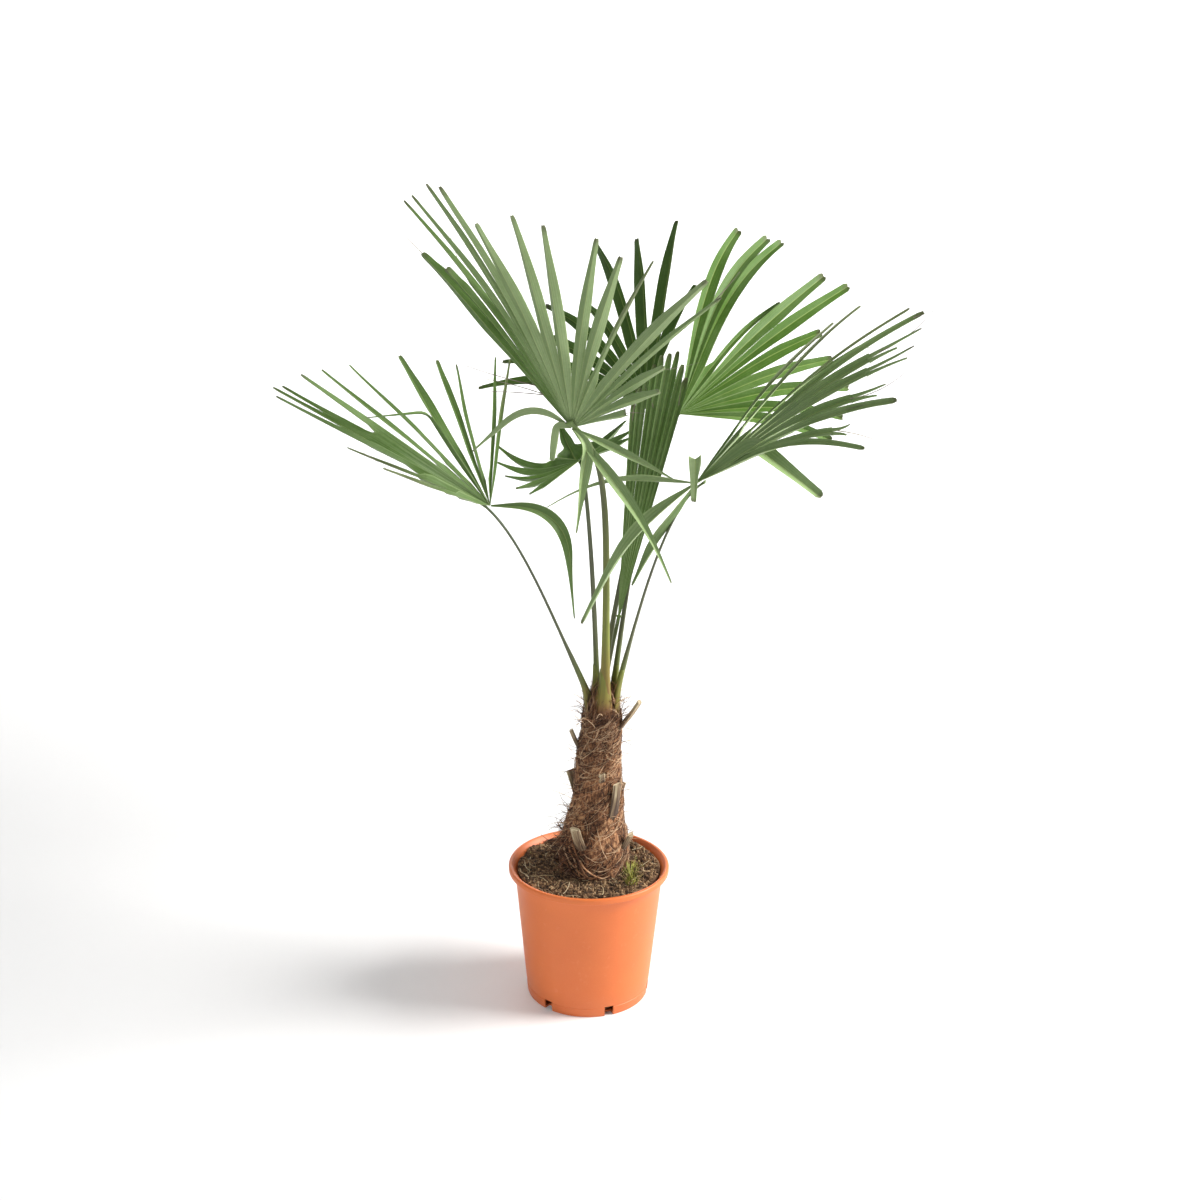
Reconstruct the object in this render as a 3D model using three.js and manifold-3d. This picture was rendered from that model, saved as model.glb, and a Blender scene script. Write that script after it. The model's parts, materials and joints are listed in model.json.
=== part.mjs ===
// A young windmill palm in a round nursery pot: millimetres, +Z up, front towards -Y.
// The origin is the centre of the pot's flat underside.
import * as THREE from "three";
import { mergeVertices } from "three/addons/utils/BufferGeometryUtils.js";
import Module from "manifold-3d";

const wasm = await Module();
wasm.setup();

// Clear space between pieces that rest on each other.
const GAP = 0.3;
// Facets narrower than this, left where solids are joined, are closed up.
const SLIVER = 0.02;
const UP = new THREE.Vector3(0, 0, 1);
const DOWN = new THREE.Vector3(0, 0, -1);

// Pot
const POT_HEIGHT = 226;
const POT_FOOT_RADIUS = 99;
const POT_TOP_RADIUS = 120;
const POT_WALL = 3;
const POT_FLOOR = 3;
const LIP_RADIUS = 130;
const LIP_HEIGHT = 10;
const LIP_ROUNDING = 3;
const POT_SIDES = 72;
const NOTCH_COUNT = 6;
const NOTCH_WIDTH = 15;
const NOTCH_HEIGHT = 17;
const NOTCH_DEPTH = 12;
const NOTCH_FIRST_TURN = 21;

// Soil
const SOIL_LEVEL = 219;
const SOIL_LUMP = 2.5;
const SOIL_FLAT_RADIUS = 62;
const SOIL_RINGS = 6;
const SOIL_SIDES = 48;

// Trunk, from the soil to the crown, as heights above its cut foot
const TRUNK_FOOT_HEIGHT = SOIL_LEVEL + GAP;
const TRUNK_FOOT_X = 6;
const TRUNK_TOP_X = 19;
const TRUNK_SIDES = 30;
const TRUNK_RIDGES = 7;
const TRUNK_RIDGE_DEPTH = 0.035;
const TRUNK_RINGS = [
  { height: 0, radius: 56 },
  { height: 16, radius: 56 },
  { height: 40, radius: 54 },
  { height: 62, radius: 51 },
  { height: 82, radius: 44.5 },
  { height: 105, radius: 41 },
  { height: 155, radius: 37 },
  { height: 205, radius: 33 },
  { height: 245, radius: 29.5 },
  { height: 275, radius: 28 },
  { height: 292, radius: 27 },
];
const TRUNK_HEIGHT = 292;

// Cut leaf bases that stand out from the trunk; a turn of 0 faces the front, 90 the right
const STUB_BURIED = 14;
const STUB_SPREAD = 1.25;
const STUBS = [
  { name: "leaf_base_right", turn: 82, height: 241, length: 60, width: 16, depth: 8, out: 35 },
  { name: "leaf_base_left", turn: 272, height: 206, length: 36, width: 13, depth: 7, out: 26 },
  { name: "leaf_base_front", turn: 44, height: 100, length: 62, width: 17, depth: 8, out: 10 },
  { name: "leaf_base_low_left", turn: 334, height: 54, length: 48, width: 17, depth: 10, out: 30 },
  { name: "leaf_base_low_right", turn: 66, height: 44, length: 30, width: 18, depth: 9, out: 30 },
  { name: "leaf_base_mid_front", turn: 8, height: 164, length: 16, width: 12, depth: 6, out: 18 },
  { name: "leaf_base_back_left", turn: 232, height: 120, length: 40, width: 20, depth: 9, out: 30 },
  { name: "leaf_base_back", turn: 178, height: 205, length: 38, width: 17, depth: 8, out: 34 },
  { name: "leaf_base_back_right", turn: 134, height: 96, length: 42, width: 20, depth: 9, out: 28 },
];

// Leaf stalks
const STALK_SIDES = 10;
const STALK_STEPS = 14;
const STALK_FOOT_RADIUS = 4.6;
const STALK_END_RADIUS = 2.7;
const STALK_RING = 19;
const STALK_UNDER_BLADE = 14;
const STALK_START_PULL = 0.35;
const STALK_END_PULL = 0.22;

// Blades
const BLADE_THICKNESS = 4.4;
const LEAFLET_WIDTH = 18.5;
const LEAFLET_TIP_WIDTH = 6.5;
const LEAFLET_TAPER_FROM = 0.55;
// The least half angle of room, in degrees, that the outermost leaflets have on their free side.
const OUTER_ROOM = 4;
const STRAY_TAPER_FROM = 0.4;
const STRAY_TIP = 0.18;
const JOINED_ROWS = 4;
const FREE_ROWS = 4;
const SHORT_JOINED = 0.8;
const PLEAT = 0.16;
const SIDE_CLEARANCE = 0.9;
const TWIST_FROM = 0.6;
const TWIST_OVER = 50;

/*
Each frond: where its stalk leaves the crown (turn) and its lean there, the hub that
its stalk ends at and the way it approaches it, and the blade's own frame (azimuth and
elevation of its middle line, roll about it). "angles", "reach" and "parted" hold the
leaflets' angles in the fan, their lengths, and the share of the joined part after
which neighbours separate, at evenly spaced places from first to last, and so does
"droop", how far they bend down in degrees. "longer" and "aside" are what single
leaflets add to their length and angle, "slender" the share of the full width that
narrow ones have, "tip" the width the leaflets end with, and "edge" the least room, in
degrees, that the outermost ones have on their free side. Strays are leaflets that
hang or fold out of the fan; their "wide" and "tip" are shares of the full width. A
leaflet of a fan with a twist turns about its own line where it is free, and a stray's
roll turns it about its own line from the hub on.
*/
const FRONDS = [
  {
    name: "front", turn: 10, lean: 0, thick: 1.35, hub: [-31, -120, 969],
    startPull: 0.7, endPull: 0.2, approach: [-0.6, -0.5, 0.6],
    azimuth: 250, elevation: 68, roll: 0, cup: 0, droop: [8, 8],
    count: 17, angles: [31.5, 25, 19, 13, -2, -20, -39, -50, -67],
    reach: [323, 398, 407, 339, 332, 303, 346, 195, 95],
    joined: 190, parted: [1, 1, 1, 0.75, 0.5, 0.5, 0.5, 0.5, 0.5],
    longer: { 1: -70, 5: 24, 11: -4, 13: 60, 15: 20 }, aside: { 5: 1.5, 9: -1.7, 11: 2.5 },
    slender: { 0: 1.3, 2: 0.55, 3: 0.6, 4: 0.6, 11: 0.4, 13: 0.5 },
    strays: [
      { aim: [-0.85, -0.25, 0.62], reach: 170, bend: 75, from: 0.1, over: 0.6, roll: 35 },
      { aim: [-0.95, -0.35, 0.3], reach: 74, bend: 100, from: 0.2, over: 0.2, roll: 50, tip: 0.6 },
      { aim: [0.5, -0.4, -0.3], reach: 172, bend: 75, from: 0.05, over: 0.3, roll: 30 },
      { aim: [0.55, -0.3, -0.6], reach: 265, bend: 18, from: 0.2, over: 0.8, roll: 40 },
      { aim: [0.93, -0.25, -0.37], reach: 168, bend: 4, from: 0.2, over: 0.8, roll: 45, wide: 0.7 },
    ],
  },
  {
    name: "left", turn: 272, lean: 25, hub: [-154, -32, 830],
    azimuth: 192, elevation: 38, roll: -22, cup: 0.74, droop: [0, 0], twist: -15,
    count: 13, angles: [-47, -19, -11, 7, 35, 51, 70],
    reach: [320, 386, 366, 318, 272, 238, 255],
    joined: 180, parted: [0.5, 0.75, 0.75, 0.5, 0.25, 0.25, 0.25],
    longer: { 1: -50, 3: 10, 11: 12 }, aside: { 7: -2.5, 9: 4.5, 11: 6 },
    slender: {
      0: 0.35, 1: 0.35, 2: 0.5, 3: 0.45, 4: 0.55, 5: 0.9, 6: 0.5, 7: 0.45, 10: 0.4, 11: 0.4, 12: 0.4,
    },
    strays: [
      { aim: [0.93, -0.15, 0.06], reach: 262, bend: 88, from: 0.1, over: 0.55, roll: 50, wide: 1.2 },
      { aim: [-0.45, -0.25, 0.8], reach: 272, bend: 58, from: 0.6, over: 0.12, wide: 0.8 },
    ],
  },
  {
    name: "back_right", turn: 128, lean: 9, hub: [130, 96, 947],
    azimuth: 46, elevation: 34, roll: 60, cup: 0.36, droop: [36, 32, 8, 8, 16, 20],
    count: 11, angles: [-26, -17, 3, 14, 30, 46], reach: [393, 404, 391, 320, 330, 280],
    joined: 190, parted: [0.5, 0.5, 0.75, 0.75, 0.75],
    longer: { 3: -96, 5: 62 }, aside: { 0: -1, 1: 1, 3: 3 },
    slender: { 0: 1.1, 1: 1.1, 2: 1.1, 3: 0.5, 4: 1.15, 5: 1.15 },
    strays: [],
    tip: 10,
  },
  {
    name: "right", turn: 84, lean: 13, hub: [154, -16, 865],
    azimuth: -31, elevation: 33, roll: 23, cup: 0.21, droop: [15, 15, 15, 15, 22, 34], twist: 45,
    count: 11, angles: [-60, -46, -33, -20, -7, 5], reach: [386, 330, 425, 378, 343, 300],
    joined: 200, parted: [0.5, 0.5, 0.5, 0.5, 0.5, 0.25],
    longer: { 1: 50, 3: 48, 7: -40, 9: -50 }, aside: { 2: 6, 8: 3 },
    slender: { 0: 0.35, 1: 0.35, 2: 0.5, 3: 0.35, 4: 0.55, 5: 0.8, 10: 0.5 },
    strays: [
      { aim: [-0.95, -0.25, 0.15], reach: 238, bend: 38, from: 0.2, over: 0.8, roll: 55, wide: 0.8 },
      { aim: [-0.7, -0.45, -0.36], reach: 285, bend: 36, from: 0.1, over: 0.7, wide: 1.4 },
      { aim: [0.76, -0.3, 0.7], reach: 238, bend: 74, from: 0.36, over: 0.2, roll: 40, tip: 0.5 },
      { aim: [-0.07, -0.6, 0.75], reach: 155, bend: 160, from: 0.4, over: 0.16, tip: 0.8 },
      { aim: [-0.5, 0.2, -0.75], reach: 200, bend: 12, from: 0.2, over: 0.6, wide: 1.2 },
    ],
  },
  {
    name: "back", turn: 176, lean: 6, hub: [79, 135, 961],
    azimuth: 106, elevation: 34, roll: -41, cup: 0.13, droop: [20, 20],
    count: 9, angles: [-44, -25, -6, 13, 36], reach: [373, 360, 380, 390, 350],
    joined: 130, parted: [0.75, 0.5, 0.5, 0.75, 1],
    longer: { 4: -60, 5: 40, 7: 16, 8: -110 }, aside: {},
    slender: {},
    strays: [],
  },
  {
    name: "spear", turn: 0, lean: 8, ring: 0, hub: [40, 0, 634],
    azimuth: 0, elevation: 80, roll: 90, cup: 0, droop: [0, 0],
    edge: 1.6, count: 5, angles: [4, 1, -2, -4.5, -7], reach: [400, 435, 425, 395, 350],
    joined: 290, parted: [1, 1, 1, 1, 1],
    longer: {}, aside: {},
    slender: {},
    strays: [],
  },
  {
    name: "low_back", turn: 222, lean: 4, ring: 14, hub: [-21, 70, 878],
    azimuth: 100, elevation: 8, roll: -22, cup: 0, droop: [0, -34, -48, 0, 0],
    count: 9, angles: [-118, -96, -62, 50, 84], reach: [104, 124, 150, 120, 84],
    joined: 50, parted: [1, 1, 1, 1, 1],
    longer: {}, aside: {},
    slender: {},
    strays: [],
  },
];

const radians = THREE.MathUtils.degToRad;

function material(colour, roughness) {
  return new THREE.MeshStandardMaterial({ color: colour, roughness, metalness: 0 });
}

const TERRACOTTA = 0xd97a4e;
const EARTH = 0x4a3528;
const FIBRE = 0x7a5a42;
const CUT_BASE = 0xa08a68;
const STALK_GREEN = 0x6f7a4a;
const LEAF_GREEN = 0x5f8a45;

// A closed geometry as a manifold-3d solid, and a solid as a geometry.
function solid(geometry) {
  const plain = geometry.clone();
  plain.deleteAttribute("normal");
  plain.deleteAttribute("uv");
  const merged = mergeVertices(plain, 1e-3);
  return new wasm.Manifold(
    new wasm.Mesh({
      numProp: 3,
      vertProperties: new Float32Array(merged.attributes.position.array),
      triVerts: new Uint32Array(merged.index.array),
    }),
  );
}

function geometryOf(made) {
  const mesh = made.simplify(SLIVER).getMesh();
  const geometry = new THREE.BufferGeometry();
  geometry.setAttribute("position", new THREE.BufferAttribute(mesh.vertProperties, 3));
  geometry.setIndex(new THREE.BufferAttribute(mesh.triVerts, 1));
  geometry.computeVertexNormals();
  return geometry;
}

function named(name, geometry, colour, roughness) {
  const mesh = new THREE.Mesh(geometry, material(colour, roughness));
  mesh.name = name;
  return mesh;
}

// The value at a share (0 to 1) of a row of evenly spaced values.
function along(values, share) {
  const place = THREE.MathUtils.clamp(share, 0, 1) * (values.length - 1);
  const before = Math.min(Math.floor(place), values.length - 2);
  return THREE.MathUtils.lerp(values[before], values[before + 1], place - before);
}

// LatheGeometry turns about Y; this stands its axis on Z.
function lathe(profile, sides) {
  const points = profile.map(([radius, height]) => new THREE.Vector2(radius, height));
  return new THREE.LatheGeometry(points, sides).rotateX(Math.PI / 2);
}

function potWallRadius(height) {
  return THREE.MathUtils.lerp(POT_FOOT_RADIUS, POT_TOP_RADIUS, height / (POT_HEIGHT - LIP_HEIGHT));
}

function makePot() {
  const lipFoot = POT_HEIGHT - LIP_HEIGHT;
  const lipInner = LIP_RADIUS - POT_WALL;
  const profile = [
    [0, 0],
    [POT_FOOT_RADIUS, 0],
    [POT_TOP_RADIUS, lipFoot],
    [LIP_RADIUS - 1, lipFoot],
    [LIP_RADIUS, lipFoot + 1],
    [LIP_RADIUS, POT_HEIGHT - LIP_ROUNDING],
    [LIP_RADIUS - 1, POT_HEIGHT - 1],
    [LIP_RADIUS - LIP_ROUNDING, POT_HEIGHT],
    [lipInner - LIP_ROUNDING, POT_HEIGHT],
    [potWallRadius(lipFoot) - POT_WALL, lipFoot],
    [potWallRadius(POT_FLOOR) - POT_WALL, POT_FLOOR],
    [0, POT_FLOOR],
  ];
  let pot = solid(lathe(profile, POT_SIDES));
  for (let i = 0; i < NOTCH_COUNT; i += 1) {
    const turn = radians(NOTCH_FIRST_TURN + (i * 360) / NOTCH_COUNT);
    const cutter = new THREE.BoxGeometry(NOTCH_WIDTH, 2 * NOTCH_DEPTH, 2 * NOTCH_HEIGHT);
    cutter.translate(0, -POT_FOOT_RADIUS, 0);
    cutter.rotateZ(turn);
    pot = pot.subtract(solid(cutter));
  }
  return named("pot", geometryOf(pot), TERRACOTTA, 0.55);
}

function soilHeight(x, y) {
  const radius = Math.hypot(x, y);
  const share = THREE.MathUtils.smoothstep(radius, SOIL_FLAT_RADIUS, SOIL_FLAT_RADIUS + 14);
  const lumps = Math.sin(x / 9) * Math.cos(y / 11) + 0.6 * Math.sin((x + 2 * y) / 17);
  return SOIL_LUMP * share * lumps;
}

function makeSoil() {
  const foot = POT_FLOOR + GAP;
  const clear = POT_WALL + GAP;
  const rim = potWallRadius(SOIL_LEVEL) - clear - 1.5;
  const profile = [
    [0, foot],
    [potWallRadius(foot) - clear, foot],
    [potWallRadius(POT_HEIGHT - LIP_HEIGHT - SOIL_LUMP * 3) - clear, SOIL_LEVEL - SOIL_LUMP * 4],
    [rim, SOIL_LEVEL],
  ];
  for (let i = 1; i <= SOIL_RINGS; i += 1) {
    const radius = THREE.MathUtils.lerp(rim, SOIL_FLAT_RADIUS, i / SOIL_RINGS);
    profile.push([radius, SOIL_LEVEL]);
  }
  profile.push([0, SOIL_LEVEL]);
  const geometry = lathe(profile, SOIL_SIDES);
  const place = geometry.attributes.position;
  for (let i = 0; i < place.count; i += 1) {
    if (Math.abs(place.getZ(i) - SOIL_LEVEL) < 0.01) {
      place.setZ(i, SOIL_LEVEL + soilHeight(place.getX(i), place.getY(i)));
    }
  }
  return named("soil", geometryOf(solid(geometry)), EARTH, 0.95);
}

// The trunk leans: its centre moves from the foot's place to the crown's.
function trunkCentre(height) {
  return THREE.MathUtils.lerp(TRUNK_FOOT_X, TRUNK_TOP_X, height / TRUNK_HEIGHT);
}

function trunkRadius(height) {
  const last = TRUNK_RINGS.length - 1;
  for (let i = 0; i < last; i += 1) {
    const low = TRUNK_RINGS[i];
    const high = TRUNK_RINGS[i + 1];
    if (height <= high.height) {
      const share = (height - low.height) / (high.height - low.height);
      return THREE.MathUtils.lerp(low.radius, high.radius, share);
    }
  }
  return TRUNK_RINGS[last].radius;
}

function trunkSolid(grown) {
  const rings = TRUNK_RINGS.map(({ height, radius }) => {
    const ring = [];
    for (let i = 0; i < TRUNK_SIDES; i += 1) {
      const turn = (i * 2 * Math.PI) / TRUNK_SIDES;
      const ridge = Math.sin(TRUNK_RIDGES * turn + height / 24);
      const out = radius * (1 + TRUNK_RIDGE_DEPTH * ridge) + grown;
      const x = trunkCentre(height) + out * Math.cos(turn);
      const z = TRUNK_FOOT_HEIGHT + height + (height === 0 ? -grown : 0);
      ring.push(new THREE.Vector3(x, out * Math.sin(turn), z));
    }
    return ring;
  });
  return solid(loft(rings));
}

// A closed body through rings of the same number of points, with flat ends.
function loft(rings) {
  const sides = rings[0].length;
  const positions = [];
  const index = [];
  rings.flat().forEach((p) => positions.push(p.x, p.y, p.z));
  for (let r = 0; r < rings.length - 1; r += 1) {
    for (let i = 0; i < sides; i += 1) {
      const a = r * sides + i;
      const b = r * sides + ((i + 1) % sides);
      index.push(a, b, b + sides, a, b + sides, a + sides);
    }
  }
  const ends = [rings[0], rings[rings.length - 1]];
  ends.forEach((ring, end) => {
    const centre = new THREE.Vector3();
    ring.forEach((p) => centre.addScaledVector(p, 1 / sides));
    const middle = positions.length / 3;
    positions.push(centre.x, centre.y, centre.z);
    const first = end === 0 ? 0 : (rings.length - 1) * sides;
    for (let i = 0; i < sides; i += 1) {
      const a = first + i;
      const b = first + ((i + 1) % sides);
      index.push(middle, end === 0 ? b : a, end === 0 ? a : b);
    }
  });
  const geometry = new THREE.BufferGeometry();
  geometry.setAttribute("position", new THREE.Float32BufferAttribute(positions, 3));
  geometry.setIndex(index);
  return geometry;
}

// A wedge that widens into the trunk and ends in a flat cut, clear of the trunk.
function makeStub({ name, turn, height, length, width, depth, out }, trunkClear) {
  const outward = new THREE.Vector3(Math.sin(radians(turn)), -Math.cos(radians(turn)), 0);
  const sideways = new THREE.Vector3().crossVectors(UP, outward);
  const lean = radians(out);
  const forward = outward.clone().multiplyScalar(Math.sin(lean)).addScaledVector(UP, Math.cos(lean));
  const thick = new THREE.Vector3().crossVectors(forward, sideways);
  const start = outward.clone().multiplyScalar(trunkRadius(height) - depth / 2);
  start.x += trunkCentre(height);
  start.z = TRUNK_FOOT_HEIGHT + height;
  const rings = [-STUB_BURIED, 0, length].map((distance, i) => {
    const half = (width / 2) * (i === 2 ? 1 : STUB_SPREAD);
    const deep = depth / 2;
    const corners = [[-half, -deep], [half, -deep], [half * 0.8, deep], [-half * 0.8, deep]];
    return corners.map(([side, rise]) =>
      start
        .clone()
        .addScaledVector(forward, distance)
        .addScaledVector(sideways, side)
        .addScaledVector(thick, rise),
    );
  });
  const whole = solid(loft(rings)).subtract(trunkClear);
  const pieces = whole.decompose();
  pieces.sort((a, b) => b.volume() - a.volume());
  return named(name, geometryOf(pieces[0]), CUT_BASE, 0.9);
}

// The blade's own frame: along its middle line, up from its upper face, and to its side.
function bladeFrame({ azimuth, elevation, roll }) {
  const turn = radians(azimuth);
  const rise = radians(elevation);
  const middle = new THREE.Vector3(
    Math.cos(turn) * Math.cos(rise),
    Math.sin(turn) * Math.cos(rise),
    Math.sin(rise),
  );
  const face = UP.clone().addScaledVector(middle, -middle.z).normalize();
  face.applyAxisAngle(middle, radians(roll));
  return { middle, face, side: new THREE.Vector3().crossVectors(middle, face) };
}

// One leaflet's middle line: places, and at each the directions across it and up from it.
function leafletLine(hub, heading, across, reach, distances, bend, from, over) {
  const axis = new THREE.Vector3().crossVectors(heading, DOWN).normalize();
  const rows = [];
  const place = hub.clone();
  let done = 0;
  distances.forEach((distance) => {
    const steps = 4;
    for (let i = 0; i < steps; i += 1) {
      const middle = done + ((distance - done) * (i + 0.5)) / steps;
      const share = THREE.MathUtils.smoothstep(middle / reach, from, from + over);
      const step = heading.clone().applyAxisAngle(axis, radians(bend) * share);
      place.addScaledVector(step, (distance - done) / steps);
    }
    done = distance;
    const turned = radians(bend) * THREE.MathUtils.smoothstep(distance / reach, from, from + over);
    const ahead = heading.clone().applyAxisAngle(axis, turned);
    const wide = across.clone().applyAxisAngle(axis, turned);
    const face = new THREE.Vector3().crossVectors(wide, ahead).normalize();
    rows.push({ place: place.clone(), wide, face, ahead, distance });
  });
  return rows;
}

// Turns the rows about the leaflet's own line, from none at one distance to all at another.
function twistRows(rows, twist, start, end) {
  rows.forEach(({ wide, face, ahead, distance }) => {
    const angle = radians(twist) * THREE.MathUtils.smoothstep(distance, start, end);
    wide.applyAxisAngle(ahead, angle);
    face.applyAxisAngle(ahead, angle);
  });
  return rows;
}

function leafletHalfWidth(share, tipWidth, taperFrom) {
  const narrow = THREE.MathUtils.smoothstep(share, taperFrom, 1);
  return THREE.MathUtils.lerp(LEAFLET_WIDTH / 2, tipWidth / 2, narrow);
}

// The fan's leaflets in order: angle in the fan, reach, and heading.
function fanLeaflets(frond) {
  const { middle, face, side } = bladeFrame(frond);
  const leaflets = [];
  for (let i = 0; i < frond.count; i += 1) {
    const share = i / (frond.count - 1);
    const angle = radians(along(frond.angles, share) + (frond.aside[i] ?? 0));
    const reach = along(frond.reach, share) + (frond.longer[i] ?? 0);
    const heading = middle
      .clone()
      .multiplyScalar(Math.cos(angle))
      .addScaledVector(side, Math.sin(angle))
      .addScaledVector(face, frond.cup * (1 - Math.cos(angle)))
      .normalize();
    const across = middle
      .clone()
      .multiplyScalar(-Math.sin(angle))
      .addScaledVector(side, Math.cos(angle));
    leaflets.push({ angle, reach, heading, across, droop: along(frond.droop, share) });
  }
  return leaflets;
}

/*
The fan as one thick sheet. The first rows of corners lie at the same distances from
the hub in every leaflet, and neighbours share their edge there until they part.
*/
function fanGeometry(frond) {
  const hub = new THREE.Vector3(...frond.hub);
  const { face } = bladeFrame(frond);
  const leaflets = fanLeaflets(frond);
  const last = leaflets.length - 1;
  const positions = [];
  const index = [];
  // Each place becomes a pair of corners: one on the upper face and one on the lower.
  const corner = (place, up) => {
    const half = up.clone().multiplyScalar(BLADE_THICKNESS / 2);
    const top = place.clone().add(half);
    const bottom = place.clone().sub(half);
    positions.push(top.x, top.y, top.z, bottom.x, bottom.y, bottom.z);
    return positions.length / 3 - 2;
  };
  const facet = (a, b, c) => {
    index.push(a, b, c, a + 1, c + 1, b + 1);
  };
  const wall = (a, b) => {
    index.push(a, b, b + 1, a, b + 1, a + 1);
  };
  const lines = leaflets.map(({ reach, heading, across, droop }) => {
    // The first row is the same in every leaflet; short leaflets have the others closer.
    const first = frond.joined / JOINED_ROWS;
    const parting = Math.min(frond.joined, SHORT_JOINED * reach);
    const distances = [];
    for (let r = 0; r < JOINED_ROWS; r += 1) {
      distances.push(THREE.MathUtils.lerp(first, parting, r / (JOINED_ROWS - 1)));
    }
    for (let r = 1; r <= FREE_ROWS; r += 1) {
      distances.push(THREE.MathUtils.lerp(parting, reach, r / FREE_ROWS));
    }
    const rows = leafletLine(hub, heading, across, reach, distances, droop, 0.25, 0.75);
    return twistRows(rows, frond.twist ?? 0, frond.joined * TWIST_FROM, frond.joined + TWIST_OVER);
  });
  // Half the angle to the neighbour on one side; the outermost leaflets have room outside.
  const halfAngle = (i, way) => {
    const neighbour = leaflets[i + way] ?? leaflets[i - way];
    const half = Math.abs(neighbour.angle - leaflets[i].angle) / 2;
    return leaflets[i + way] ? half : Math.max(half, radians(frond.edge ?? OUTER_ROOM));
  };
  const turningWay = Math.sign(leaflets[last].angle - leaflets[0].angle);
  const roomAt = (i, row, way) => row.distance * Math.tan(halfAngle(i, way));
  const halfWidthAt = (i, row, way) => {
    const room = SIDE_CLEARANCE * roomAt(i, row, way);
    const share = row.distance / leaflets[i].reach;
    const own = leafletHalfWidth(share, frond.tip ?? LEAFLET_TIP_WIDTH, LEAFLET_TAPER_FROM);
    return Math.min(own * (frond.slender[i] ?? 1), room);
  };
  const edgePlace = (row, way, half) =>
    row.place.clone().addScaledVector(row.wide, way * half * turningWay);
  // Boundary b lies between leaflets b - 1 and b; its first rows are shared.
  const boundaries = [];
  for (let b = 0; b <= last + 1; b += 1) {
    const share = b / (last + 1);
    const outer = b === 0 || b === last + 1;
    const rows = outer ? 1 : Math.max(1, Math.round(JOINED_ROWS * along(frond.parted, share)));
    const shared = [];
    for (let r = 0; r < rows; r += 1) {
      const place = new THREE.Vector3();
      const up = new THREE.Vector3();
      const beside = [b - 1, b].filter((i) => i >= 0 && i <= last);
      beside.forEach((i) => {
        const way = i === b ? -1 : 1;
        const row = lines[i][r];
        place.addScaledVector(edgePlace(row, way, roomAt(i, row, way)), 1 / beside.length);
        up.add(row.face);
      });
      shared.push(corner(place, up.normalize()));
    }
    boundaries.push({ shared, outer });
  }
  const apex = corner(hub, face);
  leaflets.forEach((leaflet, i) => {
    const sides = [boundaries[i], boundaries[i + 1]];
    const rows = lines[i].map((row, r) => {
      const halves = [-1, 1].map((way) => halfWidthAt(i, row, way));
      const [low, high] = sides.map(({ shared }, side) => {
        if (r < shared.length) return shared[r];
        return corner(edgePlace(row, side === 0 ? -1 : 1, halves[side]), row.face);
      });
      const keel = row.place.clone().addScaledVector(row.face, -PLEAT * (halves[0] + halves[1]));
      return [low, corner(keel, row.face), high];
    });
    facet(apex, rows[0][0], rows[0][1]);
    facet(apex, rows[0][1], rows[0][2]);
    if (sides[0].outer) wall(rows[0][0], apex);
    if (sides[1].outer) wall(apex, rows[0][2]);
    for (let r = 1; r < rows.length; r += 1) {
      const [a, b, c] = rows[r - 1];
      const [d, e, f] = rows[r];
      facet(a, d, e);
      facet(a, e, b);
      facet(b, e, f);
      facet(b, f, c);
      if (r >= sides[0].shared.length) wall(d, a);
      if (r >= sides[1].shared.length) wall(c, f);
    }
    const [a, b, c] = rows[rows.length - 1];
    wall(b, a);
    wall(c, b);
  });
  if (turningWay > 0) {
    for (let i = 0; i < index.length; i += 3) {
      [index[i + 1], index[i + 2]] = [index[i + 2], index[i + 1]];
    }
  }
  const geometry = new THREE.BufferGeometry();
  geometry.setAttribute("position", new THREE.Float32BufferAttribute(positions, 3));
  geometry.setIndex(index);
  return geometry;
}

// A single leaflet that leaves the fan's order: a closed strip that starts inside the hub.
function strayGeometry(frond, stray) {
  const { aim, reach, bend, from, over, roll = 0, wide = 1, tip = STRAY_TIP } = stray;
  const hub = new THREE.Vector3(...frond.hub);
  const heading = new THREE.Vector3(...aim).normalize();
  const across = new THREE.Vector3().crossVectors(heading, UP).normalize();
  across.applyAxisAngle(heading, radians(roll));
  const distances = [];
  const rows = JOINED_ROWS + FREE_ROWS;
  for (let r = 0; r <= rows; r += 1) distances.push((reach * r) / rows);
  const line = leafletLine(hub, heading, across, reach, distances, bend, from, over);
  const rings = line.map((row) => {
    const share = row.distance / reach;
    const grow = THREE.MathUtils.smoothstep(share, -0.2, 0.35);
    const half = wide * grow * leafletHalfWidth(share, tip * LEAFLET_WIDTH, STRAY_TAPER_FROM);
    const high = BLADE_THICKNESS / 2;
    const keel = 2 * PLEAT * half;
    const at = (side, up) =>
      row.place.clone().addScaledVector(row.wide, side).addScaledVector(row.face, up);
    const top = [at(-half, high), at(0, high - keel), at(half, high)];
    const bottom = [at(half, -high), at(0, -high - keel), at(-half, -high)];
    return [...top, ...bottom];
  });
  return loft(rings);
}

function bladeSolid(frond) {
  let blade = solid(fanGeometry(frond));
  frond.strays.forEach((stray) => {
    blade = blade.add(solid(strayGeometry(frond, stray)));
  });
  return blade;
}

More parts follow.
